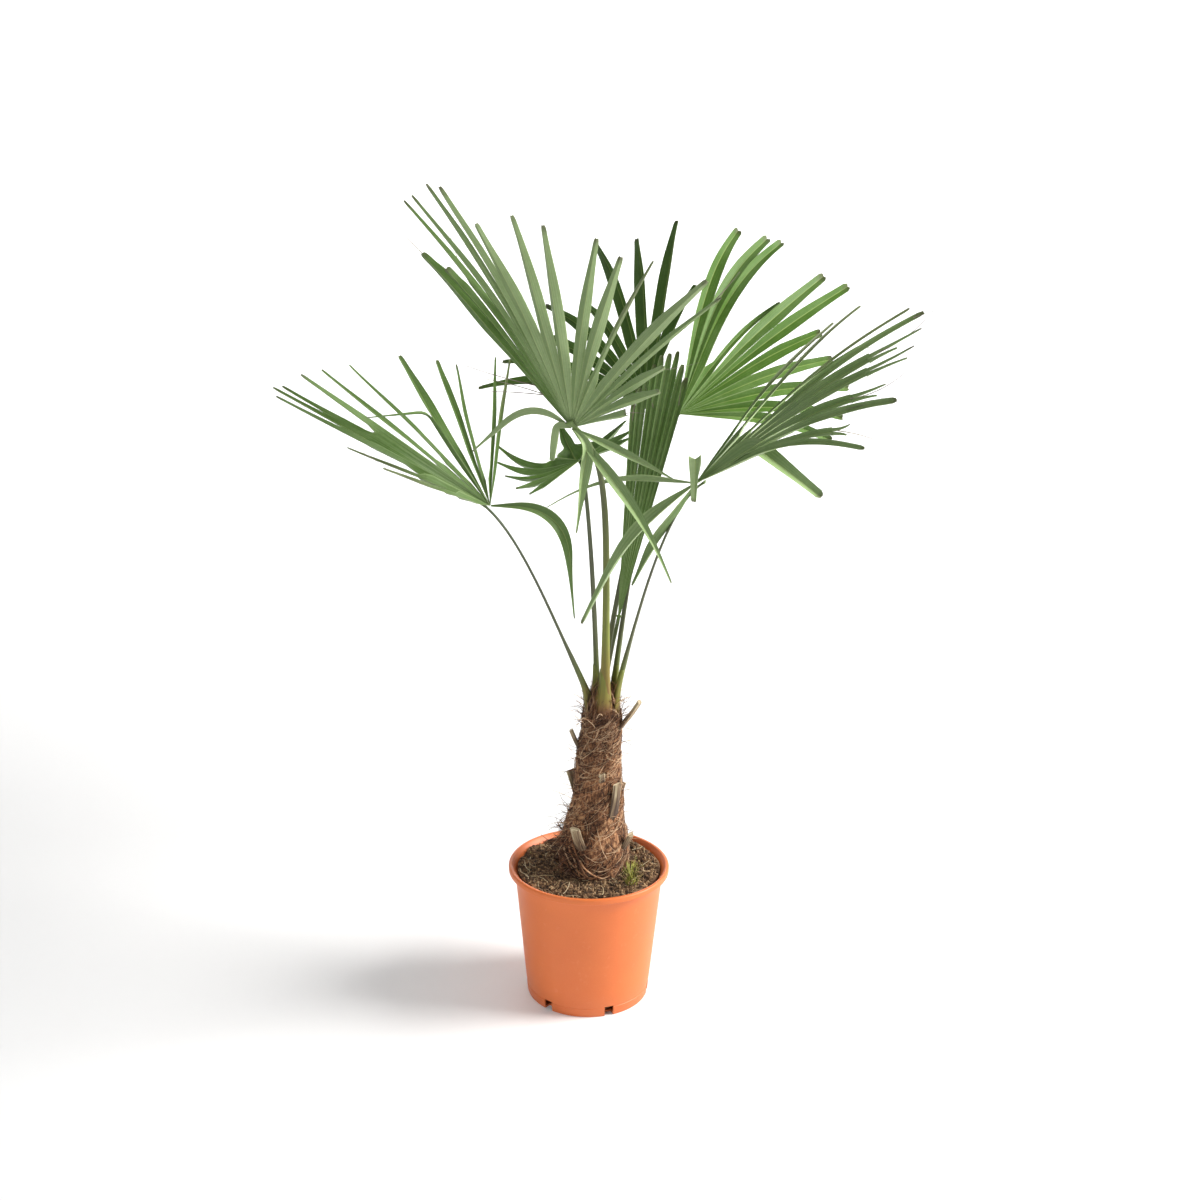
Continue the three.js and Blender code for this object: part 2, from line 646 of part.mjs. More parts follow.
// The stalk rises from the crown, leans out and ends under the hub.
function stalkSolid(frond, grown) {
  const { middle, face } = bladeFrame(frond);
  const turn = radians(frond.turn);
  const lean = radians(frond.lean);
  const ring = frond.ring ?? STALK_RING;
  const foot = new THREE.Vector3(
    TRUNK_TOP_X + ring * Math.sin(turn),
    -ring * Math.cos(turn),
    TRUNK_FOOT_HEIGHT + TRUNK_HEIGHT + GAP,
  );
  const thick = frond.thick ?? 1;
  const under = BLADE_THICKNESS / 2 + STALK_END_RADIUS * thick + GAP;
  const end = new THREE.Vector3(...frond.hub)
    .addScaledVector(face, -under)
    .addScaledVector(middle, STALK_UNDER_BLADE);
  const length = end.distanceTo(foot);
  const outward = end.clone().sub(foot).setZ(0).normalize();
  const start = outward.multiplyScalar(Math.sin(lean)).addScaledVector(UP, Math.cos(lean));
  const approach = new THREE.Vector3(...(frond.approach ?? middle.toArray())).normalize();
  const curve = new THREE.CubicBezierCurve3(
    foot,
    foot.clone().addScaledVector(start, (frond.startPull ?? STALK_START_PULL) * length),
    end.clone().addScaledVector(approach, -(frond.endPull ?? STALK_END_PULL) * length),
    end,
  );
  const rings = [];
  for (let s = 0; s <= STALK_STEPS; s += 1) {
    const share = s / STALK_STEPS;
    const centre = curve.getPoint(share);
    const ahead = s === 0 ? UP : curve.getTangent(share);
    const radius = thick * THREE.MathUtils.lerp(STALK_FOOT_RADIUS, STALK_END_RADIUS, share) + grown;
    const left = new THREE.Vector3(1, 0, 0).addScaledVector(ahead, -ahead.x).normalize();
    const front = new THREE.Vector3().crossVectors(ahead, left);
    const ring = [];
    for (let i = 0; i < STALK_SIDES; i += 1) {
      const way = (i * 2 * Math.PI) / STALK_SIDES;
      ring.push(
        centre
          .clone()
          .addScaledVector(left, radius * Math.cos(way))
          .addScaledVector(front, radius * Math.sin(way)),
      );
    }
    rings.push(ring);
  }
  return solid(loft(rings));
}

const palm = new THREE.Group();
palm.name = "potted_windmill_palm";
palm.add(makePot());
palm.add(makeSoil());
palm.add(named("trunk", geometryOf(trunkSolid(0)), FIBRE, 0.95));
const trunkClear = trunkSolid(GAP);
STUBS.forEach((stub) => palm.add(makeStub(stub, trunkClear)));
FRONDS.forEach((frond) => {
  const stalk = stalkSolid(frond, 0);
  const blade = bladeSolid(frond).subtract(stalkSolid(frond, GAP));
  palm.add(named("stalk_" + frond.name, geometryOf(stalk), STALK_GREEN, 0.6));
  palm.add(named("blade_" + frond.name, geometryOf(blade), LEAF_GREEN, 0.6));
});

export default palm;
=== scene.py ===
import json
import math
import random

import bmesh
import bpy
from mathutils import Matrix, Vector, noise

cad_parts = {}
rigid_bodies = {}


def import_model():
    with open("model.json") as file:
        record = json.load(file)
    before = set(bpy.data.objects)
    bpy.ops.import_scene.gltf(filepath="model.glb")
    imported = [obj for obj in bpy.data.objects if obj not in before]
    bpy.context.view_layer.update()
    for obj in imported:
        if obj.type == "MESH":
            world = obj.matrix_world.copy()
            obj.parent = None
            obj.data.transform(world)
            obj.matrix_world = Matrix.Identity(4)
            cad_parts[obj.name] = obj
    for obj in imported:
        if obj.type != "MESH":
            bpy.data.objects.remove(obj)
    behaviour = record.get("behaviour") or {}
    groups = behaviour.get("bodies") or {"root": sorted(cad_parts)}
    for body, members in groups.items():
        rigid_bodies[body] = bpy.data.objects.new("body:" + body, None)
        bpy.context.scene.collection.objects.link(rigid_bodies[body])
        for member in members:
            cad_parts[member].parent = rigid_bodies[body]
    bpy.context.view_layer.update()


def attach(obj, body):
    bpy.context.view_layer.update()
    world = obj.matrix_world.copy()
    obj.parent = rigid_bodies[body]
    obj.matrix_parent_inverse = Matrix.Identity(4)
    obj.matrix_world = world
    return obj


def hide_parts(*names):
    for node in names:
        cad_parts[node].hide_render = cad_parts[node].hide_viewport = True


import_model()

# Sizes are in millimetres, as in the part's source, and become metres in the meshes. A pair
# named in the plural is the smallest and the largest of a value drawn at random.
MM = 0.001
GAP = 0.3
UP = Vector((0, 0, 1))
DOWN = Vector((0, 0, -1))

# Pot
POT_HEIGHT = 226
POT_FOOT_RADIUS = 99
POT_TOP_RADIUS = 120
POT_WALL = 3
POT_FLOOR = 3
LIP_RADIUS = 130
LIP_HEIGHT = 10
LIP_ROUNDING = 3
LIP_UNDER_ROUNDING = 1.6
LIP_BEVEL = 1
LIP_BEVEL_DROP = 0.6
WALL_TOP_DROP = 1.5
POT_SIDES = 192
WALL_STEPS = 8
ROUNDING_STEPS = 4
NOTCH_COUNT = 6
NOTCH_WIDTH = 15
NOTCH_HEIGHT = 17
NOTCH_DEPTH = 12
NOTCH_BELOW = 5
NOTCH_FIRST_TURN = 21
FOOT_BAND_HEIGHT = 15
FOOT_BAND_STEP = 0.5
FOOT_BAND_FADE = 12
# Rounded edges as (out, up) pairs: from the foot's radius at the floor, and from the wall's top
# radius at the lip's foot
FOOT_EDGE = [(-1.2, 0), (-0.3, 0.4), (0.1, 1.4)]
LIP_FOOT_EDGE = [(0.8, -0.4), (2, 0)]

# Soil
SOIL_LEVEL = 219
SOIL_FLAT_RADIUS = 62
SOIL_LUMP = 2.5
SOIL_SIDES = 150
SOIL_RINGS = 46
SOIL_RIM_ROOM = 1.5
SOIL_RIM_DROP = 8
SOIL_FOOT_INSET = 16
SOIL_FOOT_TOP = 22
SOIL_WALL_FROM = 26
CRUMB_COUNT = 3400
CRUMB_RADIUS = 2.4
CRUMB_KINDS = 5
CRUMB_SIZES = (0.25, 1.15)
CRUMB_INNER_RADIUS = 48
CRUMB_BED_RINGS = 24
CRUMB_BED_SIDES = 60
LITTER_COUNT = 230
LITTER_INNER_RADIUS = 50
LITTER_RIM_ROOM = 6
LITTER_LENGTHS = (6, 30)
LITTER_LONG = 1.6
LITTER_CURL = 0.6
LITTER_LIFTS = (1.2, 3.5)
LITTER_TIP_LIFT = 5
LITTER_RADII = (0.25, 0.9)
LITTER_STEPS = 6
WEED_BLADES = 130
WEED_STEPS = 4
WEED_LENGTHS = (8, 25)
WEED_LEANS = (0.2, 0.9)
WEED_WIDTHS = (0.6, 1.5)
WEED_PLACE = (68, -38)
WEED_SPREAD = (13, 40)

# Trunk
TRUNK_FOOT_HEIGHT = SOIL_LEVEL + GAP
TRUNK_FOOT_X = 6
TRUNK_TOP_X = 19
TRUNK_HEIGHT = 292
TRUNK_RINGS = [
    (0, 56), (16, 56), (40, 54), (62, 51), (82, 44.5), (105, 41),
    (155, 37), (205, 33), (245, 29.5), (262, 28), (276, 24), (286, 20), (292, 17),
]
TRUNK_SIDES = 140
TRUNK_ROWS = 150
OLD_BASE_COUNT = 15
GOLDEN_TURN = 137.5
HOLLOW_TURN = 232
HOLLOW_HEIGHT = 24
HOLLOW_DEPTH = 7
STRAND_COUNT = 1500
STRAND_HEIGHTS = (1, 272)
STRAND_UPPER_HEIGHTS = (190, 270)
STRAND_LENGTHS = (18, 66)
STRAND_SLOPES = (0.1, 0.95)
STRAND_SAGS = (2, 15)
STRAND_STEPS = 8
# Each strand's radius is one of these
STRAND_RADII = (0.22, 0.28, 0.3, 0.36, 0.5, 0.8)
SHEATH_RADII = (0.25, 0.4, 0.6)
LOOSE_HAIR_COUNT = 420
HAIR_LENGTHS = (14, 42)
HAIR_CURL = 0.16
HAIR_STEPS = 8
CURL_COUNT = 12
CURL_TURNS = (185, 250)
CURL_SWEEPS = (25, 65)
CURL_UPPER_HEIGHTS = (22, 62)
CURL_LOWER_HEIGHTS = (4, 18)
CURL_STEPS = 10
SHEATH_COUNT = 620
SHEATH_STEPS = 6
SHEATH_SPREAD = 24
SHEATH_CLOSING = 27
SHEATH_DROP = 4

# Cut leaf bases: (turn, height, length, width, depth, out); a turn of 0 faces the front
STUBS = {
    "leaf_base_right": (82, 241, 60, 16, 8, 35),
    "leaf_base_left": (272, 206, 36, 13, 7, 26),
    "leaf_base_front": (44, 100, 62, 17, 8, 10),
    "leaf_base_low_left": (334, 54, 48, 17, 10, 30),
    "leaf_base_low_right": (66, 44, 30, 18, 9, 30),
    "leaf_base_mid_front": (8, 164, 16, 12, 6, 18),
    "leaf_base_back_left": (232, 120, 40, 20, 9, 30),
    "leaf_base_back": (178, 205, 38, 17, 8, 34),
    "leaf_base_back_right": (134, 96, 42, 20, 9, 28),
}
STUB_BURIED = 14
STUB_SPREAD = 1.25
STUB_SIDES = 26
STUB_ROWS = 20
STUB_BOW = 1.6

# Leaf stalks
STALK_SIDES = 18
STALK_STEPS = 44
STALK_FOOT_RADIUS = 4.6
STALK_END_RADIUS = 2.7
STALK_RING = 19
STALK_UNDER_BLADE = 14
STALK_START_PULL = 0.35
STALK_END_PULL = 0.22
STALK_CROWN_FLARE = 0.35
STALK_HUB_FLARE = 0.9
STALK_FLATNESS = 0.72
STALK_CHANNEL = 0.5
# The living leaf base under each stalk: where it starts on the trunk, and how far up it reaches
LEAF_FOOT_HEIGHT = 254
FRONT_LEAF_FOOT_HEIGHT = 268
INNER_LEAF_FOOT_HEIGHT = 276
LEAF_FOOT_RISE = 52
LEAF_FOOT_ROWS = 18
LEAF_FOOT_HALF_WIDTH = 12.5
LEAF_FOOT_HUG = 3.5

# Blades
BLADE_THICKNESS = 4.4
LEAF_THICKNESS = 0.7
LEAFLET_WIDTH = 18.5
LEAFLET_TIP_WIDTH = 8
LEAFLET_TAPER_FROM = 0.6
STRAY_TAPER_FROM = 0.4
STRAY_TIP = 0.18
OUTER_ROOM = 4
PLEAT = 0.4
SIDE_CLEARANCE = 0.97
TWIST_FROM = 0.6
TWIST_OVER = 50
SHORT_JOINED = 0.8
SOURCE_ROWS = 4
JOINED_STEPS = 12
FREE_STEPS = 20
PARTING_LENGTH = 16
TORN_FROM = 0.72
TORN_STRIPS = 2
# Uneven growth: sideways sway and lift as a share of the reach, twist in degrees, and tint
SWAY = 0.03
STRAY_SWAY = 0.04
TWIST_SPREAD = 12
STRAY_TWIST_SPREAD = 50
TINT_SPREAD = 0.08
# A leaflet more slender than this has dried, by this share
DRY_SLENDER = 0.42
DRY_SHARE = 0.55
THREAD_LENGTHS = (25, 70)
THREAD_SHARE = 0.45
LONG_THREAD_RADIUS = 0.95
LONG_THREAD_STEPS = 12

USUAL_FROND = dict(
    ring=STALK_RING, thick=1, warm=0.3, start_pull=STALK_START_PULL, end_pull=STALK_END_PULL, approach=None,
    longer={}, aside={}, slender={}, close={}, tones={}, torn=(), strays=(),
    twist=0, loose=1.0, tip=LEAFLET_TIP_WIDTH, edge=OUTER_ROOM,
)
USUAL_STRAY = dict(roll=0, wide=1, tip=STRAY_TIP, pale=0, spin=None)

# Each frond's stalk and blade, where they aren't as usual. hub is where its leaflets meet. turn
# and lean are how its stalk leaves the trunk, and ring how far from the trunk's middle. azimuth,
# elevation and roll set the blade's middle line and face, and cup bends its sides up. angles,
# reach, droop and parted run evenly from the first leaflet to the last. longer, aside, slender,
# tones and torn are for single leaflets by number, and close is the distance at which a leaflet
# parts from the one before it. strays hang or fold out of the fan. tone, tones and pale make the
# green paler or deeper, and warm makes the stalk yellower.
FRONDS = [
    dict(
        name="front", turn=10, lean=0, thick=1.35, hub=(-31, -120, 969),
        start_pull=0.7, end_pull=0.2, approach=(-0.6, -0.5, 0.6),
        azimuth=250, elevation=68, roll=0, cup=0, droop=[8, 8],
        count=17, angles=[31.5, 25, 19, 13, -2, -20, -39, -50, -67],
        reach=[323, 398, 407, 339, 332, 303, 346, 195, 95],
        joined=190, parted=[1, 1, 1, 0.75, 0.5, 0.5, 0.5, 0.5, 0.5],
        close={
            1: 285, 2: 250, 3: 215, 4: 185, 5: 180, 6: 220,
            7: 160, 8: 112, 9: 80, 10: 84, 11: 88, 12: 88,
        },
        longer={1: -70, 5: 24, 11: -4, 13: 60, 15: 20}, aside={5: 1.5, 9: -1.7, 11: 2.5},
        slender={0: 1.3, 2: 0.55, 3: 0.6, 4: 0.6, 11: 0.4, 13: 0.5},
        strays=[
            dict(aim=(-0.85, -0.25, 0.62), reach=170, bend=75, start=0.1, over=0.6, roll=35),
            dict(aim=(-0.95, -0.35, 0.3), reach=74, bend=100, start=0.2, over=0.2, roll=50, tip=0.6),
            dict(aim=(0.5, -0.4, -0.3), reach=172, bend=75, start=0.05, over=0.3, roll=30),
            dict(aim=(0.55, -0.3, -0.6), reach=265, bend=18, start=0.2, over=0.8, roll=40),
            dict(aim=(0.93, -0.25, -0.37), reach=168, bend=4, start=0.2, over=0.8, roll=45, wide=0.7),
        ],
        tone=0.79, warm=1.0, tones={0: -0.42, 1: -0.4, 2: -0.34, 3: -0.24, 4: -0.1},
    ),
    dict(
        name="left", turn=272, lean=25, hub=(-154, -32, 830),
        azimuth=192, elevation=38, roll=-22, cup=0.74, droop=[0, 0], twist=-15,
        count=13, angles=[-47, -19, -11, 7, 35, 51, 70],
        reach=[320, 386, 366, 318, 272, 238, 255],
        joined=180, parted=[0.5, 0.75, 0.75, 0.5, 0.25, 0.25, 0.25],
        close={3: 215, 4: 225, 5: 205},
        longer={1: -50, 3: 10, 11: 12}, aside={7: -2.5, 9: 4.5, 11: 6},
        slender={
            0: 0.35, 1: 0.35, 2: 0.5, 3: 0.45, 4: 0.55, 5: 0.9,
            6: 0.5, 7: 0.45, 10: 0.4, 11: 0.4, 12: 0.4,
        },
        strays=[
            dict(
                aim=(0.93, -0.15, 0.06), reach=262, bend=88, start=0.1, over=0.55, roll=50,
                wide=1.0, pale=0.05, spin=80,
            ),
            dict(aim=(-0.45, -0.25, 0.8), reach=272, bend=58, start=0.6, over=0.12, wide=0.8),
        ],
        tone=0.48,
    ),
    dict(
        name="back_right", turn=128, lean=9, hub=(130, 96, 947),
        azimuth=46, elevation=34, roll=60, cup=0.36, droop=[36, 32, 8, 8, 16, 20],
        count=11, angles=[-26, -17, 3, 14, 30, 46], reach=[393, 404, 391, 320, 330, 280],
        joined=190, parted=[0.5, 0.5, 0.75, 0.75, 0.75],
        longer={3: -96, 5: 62}, aside={0: -1, 1: 1, 3: 3},
        slender={0: 1.2, 1: 1.2, 2: 1.2, 3: 0.55, 4: 1.3, 5: 1.3, 6: 1.15, 7: 1.15, 8: 1.15},
        tone=0.37, tip=12,
    ),
    dict(
        name="right", turn=84, lean=13, hub=(154, -16, 865),
        azimuth=-31, elevation=33, roll=23, cup=0.21, droop=[15, 15, 15, 15, 22, 34], twist=45,
        count=11, angles=[-60, -46, -33, -20, -7, 5], reach=[386, 330, 425, 378, 343, 300],
        joined=200, parted=[0.5, 0.5, 0.5, 0.5, 0.5, 0.25],
        longer={1: 50, 3: 48, 7: -40, 9: -50}, aside={2: 6, 8: 3},
        slender={
            0: 0.35, 1: 0.35, 2: 0.45, 3: 0.35, 4: 0.6, 5: 0.85,
            6: 0.75, 7: 0.9, 8: 0.75, 9: 0.9, 10: 0.6,
        },
        torn=(5, 6, 7, 9), tip=13,
        strays=[
            dict(aim=(-0.95, -0.25, 0.15), reach=238, bend=38, start=0.2, over=0.8, roll=55, wide=0.8),
            dict(
                aim=(-0.7, -0.45, -0.36), reach=285, bend=36, start=0.1, over=0.7,
                wide=1.7, pale=0.1, tip=0.35,
            ),
            dict(aim=(0.76, -0.3, 0.7), reach=238, bend=74, start=0.36, over=0.2, roll=40, tip=0.5, wide=1.6),
            dict(
                aim=(-0.07, -0.6, 0.75), reach=155, bend=160, start=0.4, over=0.16,
                tip=0.5, pale=0.2, spin=25,
            ),
            dict(aim=(-0.5, 0.2, -0.75), reach=200, bend=12, start=0.2, over=0.6, wide=1.5, pale=-0.3),
        ],
        tone=0.75,
    ),
    dict(
        name="back", turn=176, lean=6, hub=(79, 135, 961),
        azimuth=106, elevation=34, roll=-41, cup=0.13, droop=[20, 20],
        count=9, angles=[-44, -25, -6, 13, 36], reach=[373, 360, 380, 390, 350],
        joined=130, parted=[0.75, 0.5, 0.5, 0.75, 1],
        longer={4: -60, 5: 40, 7: 16, 8: -110},
        slender={5: 1.15, 6: 1.25, 7: 1.25},
        tone=0.24,
    ),
    dict(
        name="spear", turn=0, lean=8, ring=0, hub=(40, 0, 634),
        azimuth=0, elevation=80, roll=90, cup=0, droop=[0, 0],
        count=9, angles=[4, 1, -2, -4.5, -7], reach=[400, 435, 425, 395, 350],
        joined=290, parted=[1, 1, 1, 1, 1],
        close={1: 385, 2: 395, 3: 400, 4: 400, 5: 395, 6: 380, 7: 365, 8: 340},
        tone=0.55, warm=0.9, edge=0.8, loose=0.1,
    ),
    dict(
        name="low_back", turn=222, lean=4, ring=14, hub=(-21, 70, 878),
        azimuth=100, elevation=8, roll=-22, cup=0, droop=[0, -34, -48, 0, 0],
        count=9, angles=[-118, -96, -62, 50, 84], reach=[104, 124, 150, 120, 84],
        joined=50, parted=[1, 1, 1, 1, 1],
        tone=0.42, tip=5,
    ),
]
FRONDS = [{**USUAL_FROND, **frond} for frond in FRONDS]


def smoothstep(value, low, high):
    share = min(max((value - low) / (high - low), 0.0), 1.0)
    return share * share * (3 - 2 * share)


def lerp(low, high, share):
    return low + (high - low) * share


def along(values, share):
    """The value at a share (0 to 1) of a row of evenly spaced values."""
    place = min(max(share, 0.0), 1.0) * (len(values) - 1)
    before = min(int(place), len(values) - 2)
    return lerp(values[before], values[before + 1], place - before)


def turns_round(count):
    """Evenly spaced angles once round."""
    return [2 * math.pi * i / count for i in range(count)]


def turned(vector, axis, angle):
    return Matrix.Rotation(angle, 3, axis) @ vector


def colour(red, green, blue):
    """A colour given as it looks on a screen, 0 to 255, as Blender's linear values."""

    def linear(value):
        value /= 255
        return value / 12.92 if value <= 0.04045 else ((value + 0.055) / 1.055) ** 2.4

    return (linear(red), linear(green), linear(blue), 1.0)


# Meshes


class Shape:
    """
    Points, faces and the values each point carries, gathered from many small parts. A value
    is given as a list, one for each point, or as one number for the whole part.
    """

    def __init__(self):
        self.points = []
        self.faces = []
        self.values = {}

    def add(self, points, faces, **values):
        start = len(self.points)
        self.points.extend(points)
        self.faces.extend([tuple(start + i for i in face) for face in faces])
        for name, numbers in values.items():
            row = self.values.setdefault(name, [])
            row.extend(numbers if isinstance(numbers, list) else [numbers] * len(points))

    def build(self, name, smooth=True):
        mesh = bpy.data.meshes.new(name)
        mesh.from_pydata([tuple(p * MM) for p in self.points], [], self.faces)
        for key, numbers in self.values.items():
            layer = mesh.attributes.new(key, "FLOAT", "POINT")
            layer.data.foreach_set("value", numbers)
        mesh.validate()
        if smooth:
            mesh.shade_smooth()
        else:
            mesh.shade_flat()
        made = bpy.data.objects.new(name, mesh)
        bpy.context.scene.collection.objects.link(made)
        return made


def ring_faces(rings, sides, closed_ends=True):
    """Faces of a tube through rings of the same number of points, in their order."""
    faces = []
    for r in range(rings - 1):
        for i in range(sides):
            a = r * sides + i
            b = r * sides + (i + 1) % sides
            faces.append((a, b, b + sides, a + sides))
    if closed_ends:
        faces.append(tuple(reversed(range(sides))))
        faces.append(tuple(range((rings - 1) * sides, rings * sides)))
    return faces


def turned_profile(profile, sides):
    """A shape turned about Z from (radius, height) pairs whose two ends are on the axis."""
    shape = Shape()
    inner = profile[1:-1]
    points = [Vector((0, 0, profile[0][1]))]
    for radius, height in inner:
        for turn in turns_round(sides):
            points.append(Vector((radius * math.cos(turn), radius * math.sin(turn), height)))
    points.append(Vector((0, 0, profile[-1][1])))
    faces = []
    last = len(points) - 1
    final = 1 + (len(inner) - 1) * sides
    for i in range(sides):
        j = (i + 1) % sides
        faces.append((0, 1 + j, 1 + i))
        faces.append((last, final + i, final + j))
        for r in range(len(inner) - 1):
            a = 1 + r * sides + i
            b = 1 + r * sides + j
            faces.append((a, b, b + sides, a + sides))
    shape.add(points, faces)
    return shape


def baked(piece, name):
    """The piece with its modifiers applied, as a plain mesh object; the first is removed."""
    graph = bpy.context.evaluated_depsgraph_get()
    mesh = bpy.data.meshes.new_from_object(piece.evaluated_get(graph), depsgraph=graph)
    mesh.name = name
    bpy.data.objects.remove(piece, do_unlink=True)
    made = bpy.data.objects.new(name, mesh)
    bpy.context.scene.collection.objects.link(made)
    return made


def finish_piece(piece, material, slot, *replaced):
    """Gives a piece its material, puts it on the root body and hides the solids it stands for; slot is not
    used.
    """
    piece.data.materials.clear()
    piece.data.materials.append(material)
    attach(piece, "root")
    if replaced:
        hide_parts(*replaced)


# Shader nodes


class Paint:
    """A material or shader group under construction: makes nodes and links them."""

    def __init__(self, tree):
        self.tree = tree

    def node(self, kind, inputs=None, **settings):
        made = self.tree.nodes.new(kind)
        for key, value in settings.items():
            setattr(made, key, value)
        for key, value in (inputs or {}).items():
            self.feed(made.inputs[key], value)
        return made

    def feed(self, socket, value):
        if isinstance(value, bpy.types.NodeSocket):
            self.tree.links.new(value, socket)
        else:
            socket.default_value = value

    def math(self, operation, *values, clamp=False):
        made = self.node("ShaderNodeMath", operation=operation, use_clamp=clamp)
        for i, value in enumerate(values):
            self.feed(made.inputs[i], value)
        return made.outputs[0]

    def mix(self, factor, first, second):
        made = self.node("ShaderNodeMix", data_type="RGBA")
        self.feed(made.inputs["Factor"], factor)
        self.feed(made.inputs[6], first)
        self.feed(made.inputs[7], second)
        return made.outputs[2]

    def value(self, name):
        return self.node("ShaderNodeAttribute", attribute_name=name).outputs["Fac"]

    def ramp(self, factor, *stops):
        made = self.node("ShaderNodeValToRGB", {"Fac": factor})
        elements = made.color_ramp.elements
        while len(elements) > 1:
            elements.remove(elements[-1])
        elements[0].position, elements[0].color = stops[0]
        for place, tint in stops[1:]:
            elements.new(place).color = tint
        return made.outputs["Color"]

    def noise(self, scale, detail=4.0, roughness=0.55, vector=None):
        settings = {"Scale": scale, "Detail": detail, "Roughness": roughness}
        made = self.node("ShaderNodeTexNoise", settings)
        if vector is None:
            vector = self.node("ShaderNodeTexCoord").outputs["Object"]
        self.feed(made.inputs["Vector"], vector)
        return made.outputs["Fac"]

    def bump(self, height, strength, distance=0.001):
        made = self.node("ShaderNodeBump", {"Strength": strength, "Distance": distance})
        self.feed(made.inputs["Height"], height)
        return made.outputs["Normal"]


def shader_group(name, inputs, outputs):
    """A new shader group; returns its tree, its Paint and its group input and output nodes."""
    tree = bpy.data.node_groups.new(name, "ShaderNodeTree")
    for label, default in inputs.items():
        socket = tree.interface.new_socket(label, in_out="INPUT", socket_type="NodeSocketFloat")
        socket.default_value = default
    for label in outputs:
        tree.interface.new_socket(label, in_out="OUTPUT", socket_type="NodeSocketFloat")
    paint = Paint(tree)
    return paint, paint.node("NodeGroupInput"), paint.node("NodeGroupOutput")


def mottling_group():
    """Soft uneven patches with fine grain in them: a mask for colour and a height."""
    paint, given, out = shader_group(
        "Mottling", {"Patch Scale": 20.0, "Grain Scale": 300.0, "Contrast": 1.0}, ("Mask", "Height")
    )
    place = paint.node("ShaderNodeTexCoord").outputs["Object"]
    patch = paint.noise(given.outputs["Patch Scale"], vector=place)
    grain = paint.noise(given.outputs["Grain Scale"], detail=3.0, vector=place)
    both = paint.math("ADD", paint.math("MULTIPLY", patch, 0.75), paint.math("MULTIPLY", grain, 0.25))
    spread = paint.math("MULTIPLY", paint.math("SUBTRACT", both, 0.5), given.outputs["Contrast"])
    mask = paint.math("MULTIPLY_ADD", spread, 3.0, 0.5, clamp=True)
    paint.feed(out.inputs["Mask"], mask)
    paint.feed(out.inputs["Height"], both)
    return paint.tree


def fibre_group():
    """Long streaks that run along the piece, from its own lengthwise and crosswise values."""
    paint, given, out = shader_group(
        "Fibre streaks", {"Across Scale": 8.0, "Along Scale": 6.0, "Contrast": 1.0}, ("Mask", "Height")
    )
    across = paint.math("MULTIPLY", paint.value("across"), given.outputs["Across Scale"])
    length = paint.math("MULTIPLY", paint.value("length"), given.outputs["Along Scale"])
    place = paint.node("ShaderNodeCombineXYZ", {"X": across, "Y": length, "Z": paint.value("seed")})
    streak = paint.noise(1.0, detail=5.0, roughness=0.6, vector=place.outputs[0])
    spread = paint.math("MULTIPLY", paint.math("SUBTRACT", streak, 0.5), given.outputs["Contrast"])
    paint.feed(out.inputs["Mask"], paint.math("MULTIPLY_ADD", spread, 3.0, 0.5, clamp=True))
    paint.feed(out.inputs["Height"], streak)
    return paint.tree


MOTTLING = mottling_group()
FIBRE_STREAKS = fibre_group()


def new_material(name):
    """A material with its Paint and its surface shader."""
    made = bpy.data.materials.new(name)
    made.use_nodes = True
    made.node_tree.nodes.clear()
    paint = Paint(made.node_tree)
    shader = paint.node("ShaderNodeBsdfPrincipled")
    out = paint.node("ShaderNodeOutputMaterial")
    paint.feed(out.inputs["Surface"], shader.outputs["BSDF"])
    return made, paint, shader


def group_node(paint, tree, inputs):
    """The outputs of a shader group in use, with these inputs."""
    made = paint.tree.nodes.new("ShaderNodeGroup")
    made.node_tree = tree
    for key, value in inputs.items():
        paint.feed(made.inputs[key], value)
    return made.outputs


def pot_plastic():
    """Smooth terracotta-coloured plastic with faint scuffs and darker, greyer patches near the foot."""
    made, paint, shader = new_material("Terracotta plastic")
    patches = group_node(paint, MOTTLING, {"Patch Scale": 9.0, "Grain Scale": 420.0, "Contrast": 0.8})
    tint = paint.mix(patches["Mask"], colour(214, 108, 50), colour(224, 120, 60))
    scuffs = paint.noise(60.0, detail=6.0, roughness=0.7)
    scuffed = paint.math("MULTIPLY", paint.math("SUBTRACT", scuffs, 0.6, clamp=True), 1.6, clamp=True)
    tint = paint.mix(scuffed, tint, colour(238, 152, 106))
    height = paint.node("ShaderNodeSeparateXYZ")
    paint.feed(height.inputs[0], paint.node("ShaderNodeTexCoord").outputs["Object"])
    # Darker, greyer patches towards the foot
    low = paint.math("SUBTRACT", 1.0, paint.math("MULTIPLY", height.outputs["Z"], 22.0), clamp=True)
    darker_foot_patches = paint.math("MULTIPLY", low, patches["Mask"])
    tint = paint.mix(paint.math("MULTIPLY", darker_foot_patches, 0.3), tint, colour(176, 112, 82))
    paint.feed(shader.inputs["Base Color"], tint)
    paint.feed(shader.inputs["Roughness"], paint.math("MULTIPLY_ADD", patches["Mask"], 0.12, 0.4))
    paint.feed(shader.inputs["Normal"], paint.bump(patches["Height"], 0.12, 0.0006))
    shader.inputs["Subsurface Weight"].default_value = 0.08
    shader.inputs["Subsurface Radius"].default_value = (0.01, 0.004, 0.002)
    return made


def potting_soil():
    made, paint, shader = new_material("Potting soil")
    patches = group_node(paint, MOTTLING, {"Patch Scale": 70.0, "Grain Scale": 700.0, "Contrast": 1.4})
    tint = paint.ramp(
        patches["Mask"],
        (0.0, colour(50, 33, 21)), (0.45, colour(92, 67, 45)),
        (0.8, colour(128, 98, 68)), (1.0, colour(160, 132, 98)),
    )
    paint.feed(shader.inputs["Base Color"], tint)
    shader.inputs["Roughness"].default_value = 0.95
    paint.feed(shader.inputs["Normal"], paint.bump(patches["Height"], 0.9, 0.002))
    return made


